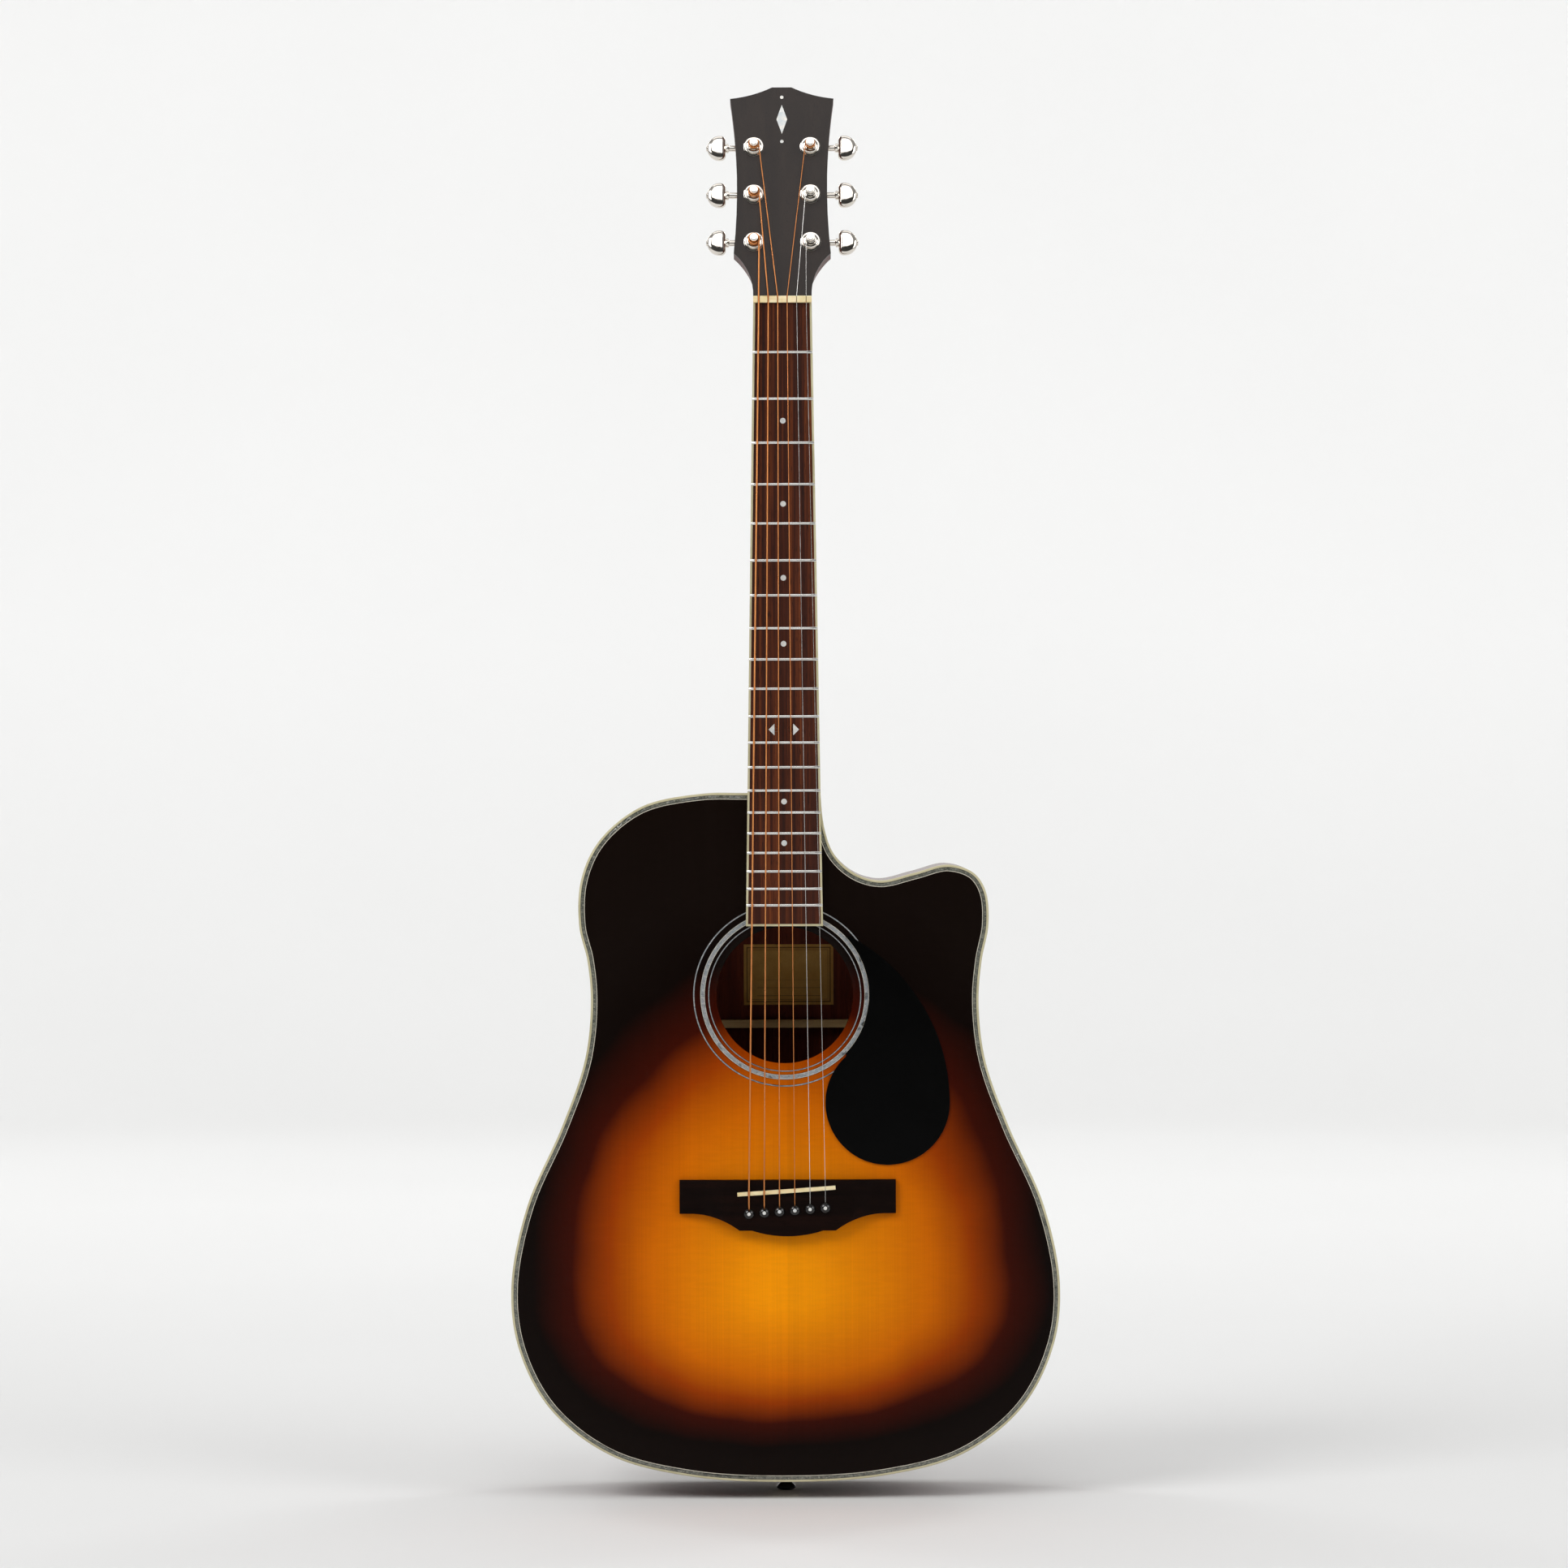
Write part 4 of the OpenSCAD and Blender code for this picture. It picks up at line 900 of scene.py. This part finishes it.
def neck():
    """Shaft, heel and head as one carved piece of wood."""
    rings = []
    for dz in (0, 2, 5, 8, 11, 13, 14.5, 15.3, 15.8, 16.2, 16.7, 17.4, 18.3, 19.5, 21, 23, 25.5,
               28, 31, 34, 37, 40, 44, 48, 54, 62):
        rings.append([(x, y, BODY_L + dz) for x, y in heel_section(dz)])
    for z in np.linspace(585, 846, 22):
        rings.append([(x, y, z) for x, y in arc_section(board_half(z), neck_depth(z))])

    def morph(length, half, depth):
        w = smooth((length - 848) / 58)
        a, b = np.array(arc_section(half, depth)), np.array(block_section(half, depth))
        return a * (1 - w) + b * w

    for z, tilt in ((852, 0), (858, 0), (863, 0), (867, 2.5), (871, 6.5)):
        t = math.radians(tilt)
        depth = NECK_DEPTH_NUT - (NECK_DEPTH_NUT - HEAD_T) * smooth((z - 856) / 21)
        rings.append([
            (x, y * math.cos(t), z - y * math.sin(t))
            for x, y in morph(z, board_half(z), depth)
        ])
    for half, v in HEAD_SIDE:
        rings.append([head(x, v, y) for x, y in morph(HEAD_Z + v, half, HEAD_T)])
    s = Shape()
    s.skin(rings)
    piece = s.build("neck_carved", [finish["neck_wood"]], ["neck_shaft", "heel", "headstock"],
                    angle=50)
    s = Shape()
    for i in range(6):
        u = side_of(i) * POST_U
        s.lathe([(0, -3), (BORE_R, -3), (BORE_R, 17), (0, 17)],
                lambda a, b, h, u=u, v=POST_V[i]: head(u + a, v + b, h), 40)
    drill = s.build("drill", [finish["neck_wood"]])
    cut = piece.modifiers.new("bores", "BOOLEAN")
    cut.object, cut.operation, cut.solver = drill, "DIFFERENCE", "EXACT"
    graph = bpy.context.evaluated_depsgraph_get()
    carved = bpy.data.meshes.new_from_object(piece.evaluated_get(graph))
    piece.modifiers.clear()
    piece.data = carved
    bpy.data.objects.remove(drill)
    piece.data.polygons.foreach_set("use_smooth", [True] * len(piece.data.polygons))
    piece.data.set_sharp_from_angle(angle=math.radians(50))


FRET_COUNT, FRET_HALF_W, FRET_TALL = 20, 1.1, 1.1


def frets():
    """Twenty frets with rounded crowns and bevelled ends."""
    s = Shape()
    for n in range(1, FRET_COUNT + 1):
        z = NUT_Z - SCALE_L * (1 - 2 ** (-n / 12))
        half = board_half(z) - 0.25
        rings = []
        for x in np.linspace(-half, half, 17):
            fall = min(1, (half - abs(x)) / 0.9)
            y = BOARD_R - math.sqrt(BOARD_R**2 - x**2) - BOARD_T
            ring = [(x, y, z - FRET_HALF_W)]
            tall = FRET_TALL - 0.75 * (1 - fall)
            for a in np.linspace(0.28, math.pi - 0.28, 9):
                ring.append((x, y - tall * math.sin(a), z - FRET_HALF_W * math.cos(a)))
            ring.append((x, y, z + FRET_HALF_W))
            rings.append(ring)
        s.skin(rings)
    return s.build("fret_wire", [finish["fret_steel"]], ["frets"], angle=50)


# ------------------------------------------------------------------ strings
BRIDGE_T, SADDLE_UP, NUT_UP, NUT_SPACING = 9, 2.6, 7.4, 7
POST_R, WRAP_TURNS, WRAP_W, BALL_Z = 3, 2.5, 8.2, 2.5


def saddle_at(i):
    x = pin_at(i)[0]
    return x, SADDLE_MID[1] + (x - SADDLE_MID[0]) * math.tan(SADDLE_TILT)


def string_points(i):
    """From the ball under the bridge, over saddle and nut, and round the post."""
    r = RADII[i]
    px, pz = pin_at(i)
    sx, sz = saddle_at(i)
    nx = (i - 2.5) * NUT_SPACING
    crest = BRIDGE_T + SADDLE_UP - sx**2 / (2 * BOARD_R)
    over = NUT_UP - nx**2 / (2 * BOARD_R) + r
    points = [(px, TOP_T + 5, pz + BALL_Z), (px, 0.5 - BRIDGE_T, pz + BALL_Z),
              (sx, -crest - r, sz), (nx, -over, NUT_Z + 0.3), (nx, -over, NUT_Z + NUT_T)]
    side = side_of(i)
    u, v = side * POST_U, POST_V[i]
    round_r = POST_R + r + 0.2
    away = np.array([nx - u, 1 - v])
    start = math.atan2(away[1], away[0]) - side * math.acos(round_r / np.linalg.norm(away))
    for k in range(81):
        turn = WRAP_TURNS * k / 80
        a = start - side * 2 * math.pi * turn
        points.append(head(u + round_r * math.cos(a), v + round_r * math.sin(a),
                           -VENEER_T - WRAP_W + 2.3 * r * turn))
    return np.array(points)


def tube(shape, points, radius, sides=12, number=0):
    rings = []
    last = len(points) - 1
    for i in range(last + 1):
        way = points[min(i + 1, last)] - points[max(i - 1, 0)]
        way /= np.linalg.norm(way)
        across = np.cross(way, (0.13, 0.31, 0.95))
        across /= np.linalg.norm(across)
        up = np.cross(across, way)
        rings.append([
            points[i] + radius * (math.cos(a) * across + math.sin(a) * up)
            for a in (2 * math.pi * k / sides for k in range(sides))
        ])
    shape.skin(rings, number=number)


def strings():
    for name, node, which, tones in (
        ("strings_wound", "wound_strings", range(4), ["bronze", "fret_steel"]),
        ("strings_plain", "plain_strings", range(4, 6), ["string_steel", "fret_steel"]),
    ):
        s = Shape()
        for i in which:
            points = string_points(i)
            tube(s, points, RADII[i])
            x, y, z = points[0]
            s.lathe([(0, -1.5), (1.5, -1.5), (1.9, -1.1), (1.9, 1.1), (1.5, 1.5), (0, 1.5)],
                    lambda a, b, h, x=x, y=y, z=z: (x + h, y + a, z + b), 20, number=1)
        s.build(name, [finish[t] for t in tones], [node])


# ------------------------------------------------------------------ hardware
def post_put(i):
    u, v = side_of(i) * POST_U, POST_V[i]
    return lambda a, b, h: head(u + a, v + b, h)


def bushings():
    s = Shape()
    for i in range(6):
        s.lathe([(5, -1.5), (7.65, -1.5), (7.65, -1.85), (7.45, -2.15), (6.9, -2.3), (5, -2.3)],
                post_put(i), 56, closed=True)
    s.build("washer_rings", [finish["chrome"]], ["tuner_washers"])
    s = Shape()
    for i in range(6):
        s.lathe([(3.1, 13.5), (5, 13.5), (5, -2.3), (6, -2.3), (6, -3.2), (5.75, -3.95),
                 (5.2, -4.45), (4.4, -4.68), (3.7, -4.7), (3.25, -4.6), (3.1, -4.35)],
                post_put(i), 56, closed=True)
    s.build("bushing_sleeves", [finish["chrome"]], ["tuner_bushings"])


BUTTON_IN, BUTTON_X, BUTTON_R, BUTTON_SOFT, BUTTON_CORNER_Y = 21, 25.4, 9.6, 3.6, 5.95


def button_loop():
    """Plan of a tuner button: a round outer side, and a straight side towards the head."""
    corner_x = BUTTON_IN + BUTTON_SOFT
    turn = math.acos((corner_x - BUTTON_X) / (BUTTON_R - BUTTON_SOFT))

    def arc(x, y, r, angles):
        return [(x + r * math.cos(a), y + r * math.sin(a)) for a in angles]

    loop = arc(corner_x, BUTTON_CORNER_Y, BUTTON_SOFT, np.linspace(turn, math.pi, 9))
    loop += [(BUTTON_IN, y) for y in np.linspace(BUTTON_CORNER_Y, -BUTTON_CORNER_Y, 9)[1:-1]]
    loop += arc(corner_x, -BUTTON_CORNER_Y, BUTTON_SOFT, np.linspace(-math.pi, -turn, 9))
    loop += arc(BUTTON_X, 0, BUTTON_R, np.linspace(-turn, turn, 45)[1:-1])
    return np.array(loop)


BUTTON = button_loop()
CENTRE = np.array([27.4, 0.0])


def button_layer(share):
    """The plan drawn in towards its centre, keeping its corners soft."""
    return CENTRE + (BUTTON - CENTRE) * share


def buttons():
    # share of the plan, and the distance of that layer from the middle of the button
    profile = [(0.0, 3.5), (0.35, 3.46), (0.6, 3.36), (0.78, 3.1), (0.9, 2.6), (0.965, 1.9),
               (0.995, 1.0), (1.0, 0.0)]
    profile += [(share, -h) for share, h in reversed(profile[:-1])]
    for i in range(6):
        s = Shape()
        side = side_of(i)
        u, v = side * POST_U, POST_V[i] + WORM_UP

        def at(x, up, h, u=u, v=v, side=side):
            return head(u + side * x, v + up, WORM_W + h)

        s.skin([[at(x, up, h) for x, up in button_layer(share)] for share, h in profile],
               caps=False)
        stem = [(0, 1.5), (1.5, 1.5), (1.5, 10.6), (2.3, 10.9), (2.3, 18.4), (2.6, 18.7),
                (3.4, 19.0), (3.4, 20.2), (3.0, 21.2), (2.2, 21.6), (0, 21.6)]
        s.lathe(stem, lambda a, b, h, at=at: at(h, a, b), 32)
        s.lathe([(0, 34.3), (2.2, 34.3), (2.2, 35.2), (1.9, 35.6), (1.2, 35.7), (0, 35.7)],
                lambda a, b, h, at=at: at(h, a, b), 24)
        # The worm on the inner end of the shaft
        rings = []
        start = math.pi * (1 - WORM_L / WORM_LEAD)
        for k in range(73):
            x = WORM_L * k / 72
            turn = start + 2 * math.pi * x / WORM_LEAD
            ring = []
            for c in range(18):
                a = 2 * math.pi * c / 18
                r = np.array([0.5 + 2.2 * math.cos(a), 2.2 * math.sin(a)])
                y = r[0] * math.cos(turn) - r[1] * math.sin(turn)
                z = r[0] * math.sin(turn) + r[1] * math.cos(turn)
                ring.append(head(u - WORM_L / 2 + x, v - y, WORM_W + z))
            rings.append(ring)
        s.skin(rings)
        name = f"tuner_button_{i + 1}"
        s.build(f"button_{i + 1}", [finish["chrome"]], [name], body=name)


def pin_dots():
    s = Shape()
    for i in range(6):
        x, z = pin_at(i)
        s.lathe([(0, -11.6), (0.7, -11.58), (1.2, -11.5), (1.38, -11.38), (1.38, -11), (0, -11)],
                upright(x, z), 28)
    s.build("pin_pearls", [finish["pearl"]], ["pin_dots"])


# ------------------------------------------------------------------ carried-over CAD nodes
def soften(node, width, segments=2):
    """Joins the imported faces and rounds their edges a little."""
    o = nodes[node]
    o.data.polygons.foreach_set("use_smooth", [True] * len(o.data.polygons))
    if "custom_normal" in o.data.attributes:
        o.data.attributes.remove(o.data.attributes["custom_normal"])
    weld = o.modifiers.new("weld", "WELD")
    weld.merge_threshold = 2e-6
    bevel = o.modifiers.new("edge", "BEVEL")
    bevel.width = width / 1000
    bevel.segments = segments
    bevel.limit_method = "ANGLE"
    bevel.angle_limit = math.radians(35)
    bevel.harden_normals = True


soundboard()
rosette()
purfling()
bindings()
sides()
back_plate()
neck()
frets()
strings()
bushings()
buttons()
pin_dots()

EDGES = {
    "bridge": 0.5, "saddle": 0.5, "nut": 0.35, "pickguard": 0.25, "fretboard": 0.1,
    "fretboard_binding": 0.12, "bridge_pins": 0.12, "end_pin": 0.3, "head_veneer": 0.15,
    "tuner_housings": 0.5, "tuner_screws": 0.3, "heel_cap": 0.3, "neck_block": 1.5,
    "tail_block": 1.5, "x_brace": 1.2, "transverse_brace": 1.2, "tone_bars": 1.2,
    "finger_braces": 1.2, "sound_hole_braces": 1, "back_braces": 1, "bridge_plate": 0.5,
    "truss_rod": 0.3, "truss_nut": 0.3, "lining_top": 0.6, "lining_back": 0.6,
    "back_strip": 0.3,
}
OWN = {"head_veneer": "veneer", "lining_top": "brace_spruce", "lining_back": "brace_spruce",
       "back_strip": "mahogany_inside"}
for name, node in nodes.items():
    if node.hide_render:
        continue
    tone = OWN.get(name, slot_of[name])
    node.data.materials.clear()
    node.data.materials.append(finish[tone])
    soften(name, EDGES.get(name, 0.08))


# ------------------------------------------------------------------ stage, light and camera
def stage_material():
    """Pale paper, and on the wall opposite the backdrop a darker cloth."""
    net = Net("stage", Specular_IOR_Level=0.1)
    cloud = net.noise(net.scaled(net.place, 0.7, 0.7, 0.7), detail=2)
    _, y, z = net.parts()
    front = net.math("MULTIPLY", net.span(y, 0.0, 1.0, -2.6, -4.4),
                     net.span(z, 0.0, 1.0, 0.02, 0.5))
    paper_tone = net.ramp(cloud, (0.3, (0.84, 0.84, 0.835)), (0.7, (0.86, 0.86, 0.855)))
    floor_tone = net.ramp(cloud, (0.3, (0.76, 0.76, 0.755)), (0.7, (0.78, 0.78, 0.775)))
    pale = net.mix(net.span(z, 0.0, 1.0, 0.0, 0.8), floor_tone, paper_tone)
    return net.set(
        Base_Color=net.mix(front, pale, (0.1, 0.1, 0.1, 1.0)),
        Roughness=net.span(cloud, 0.7, 0.8),
    )


FLOOR_R, BEND_R, WALL_TOP = 4.4, 2.2, 5.2


def stage():
    """A pale round floor whose edge curves up into a wall."""
    mesh = bpy.data.meshes.new("studio")
    bm = bmesh.new()
    profile = [(2, 0), (FLOOR_R, 0)]
    profile += [(FLOOR_R + BEND_R * math.sin(a), BEND_R - BEND_R * math.cos(a))
                for a in np.linspace(0.1, math.pi / 2, 14)]
    profile += [(FLOOR_R + BEND_R, 3.6), (FLOOR_R + BEND_R, WALL_TOP)]
    steps = 96
    rings = []
    for r, h in profile:
        rings.append([
            bm.verts.new((r * math.cos(2 * math.pi * k / steps),
                          r * math.sin(2 * math.pi * k / steps), h)) for k in range(steps)
        ])
    bm.faces.new(rings[0])
    for a, b in zip(rings, rings[1:]):
        for k in range(steps):
            n = (k + 1) % steps
            bm.faces.new([a[k], a[n], b[n], b[k]])
    bmesh.ops.recalc_face_normals(bm, faces=bm.faces)
    bm.to_mesh(mesh)
    bm.free()
    mesh.polygons.foreach_set("use_smooth", [True] * len(mesh.polygons))
    mesh.materials.append(stage_material())
    floor = bpy.data.objects.new("studio", mesh)
    scene.collection.objects.link(floor)


def area(name, at, to, size, power):
    light = bpy.data.lights.new(name, "AREA")
    light.shape, light.size, light.energy = "SQUARE", size, power
    lamp = bpy.data.objects.new(name, light)
    lamp.location = at
    lamp.rotation_euler = (Vector(to) - Vector(at)).to_track_quat("-Z", "Y").to_euler()
    scene.collection.objects.link(lamp)


stage()
area("key", (-2.6, -2.6, 2.9), (0, 0, 0.5), 2.2, 98)
area("fill", (2.9, -2.2, 1.9), (0, 0, 0.5), 2.2, 52)
area("high", (0, -4.0, 4.6), (0, 0, 0.9), 2.6, 36)
area("back_left", (-2.2, 2.6, 3.2), (0, 4.6, 1.2), 1.8, 62)
area("back_right", (2.2, 2.6, 3.2), (0, 4.6, 1.2), 1.8, 62)
area("overhead", (0, 0.2, 4.2), (0, 0, 0.5), 3.0, 26)
sky = bpy.data.worlds.new("studio_air")
scene.world = sky
sky.use_nodes = True
sky.node_tree.nodes["Background"].inputs["Color"].default_value = (1, 1, 1, 1)
sky.node_tree.nodes["Background"].inputs["Strength"].default_value = 0.3
scene.view_settings.view_transform = "Standard"

# The camera looks straight at the middle of the guitar's height, very slightly rolled
CAMERA_AWAY, CAMERA_UP, CAMERA_ROLL = 4.052, 0.5166, math.radians(0.19)
camera = bpy.data.cameras.new("camera")
camera.sensor_width, camera.lens = 36, 124.1
camera.clip_start, camera.clip_end = 0.1, 100
eye = bpy.data.objects.new("camera", camera)
eye.location = (0, -CAMERA_AWAY, CAMERA_UP + ORIGIN[2])
eye.rotation_euler = (math.pi / 2, CAMERA_ROLL, 0)
scene.collection.objects.link(eye)
scene.camera = eye
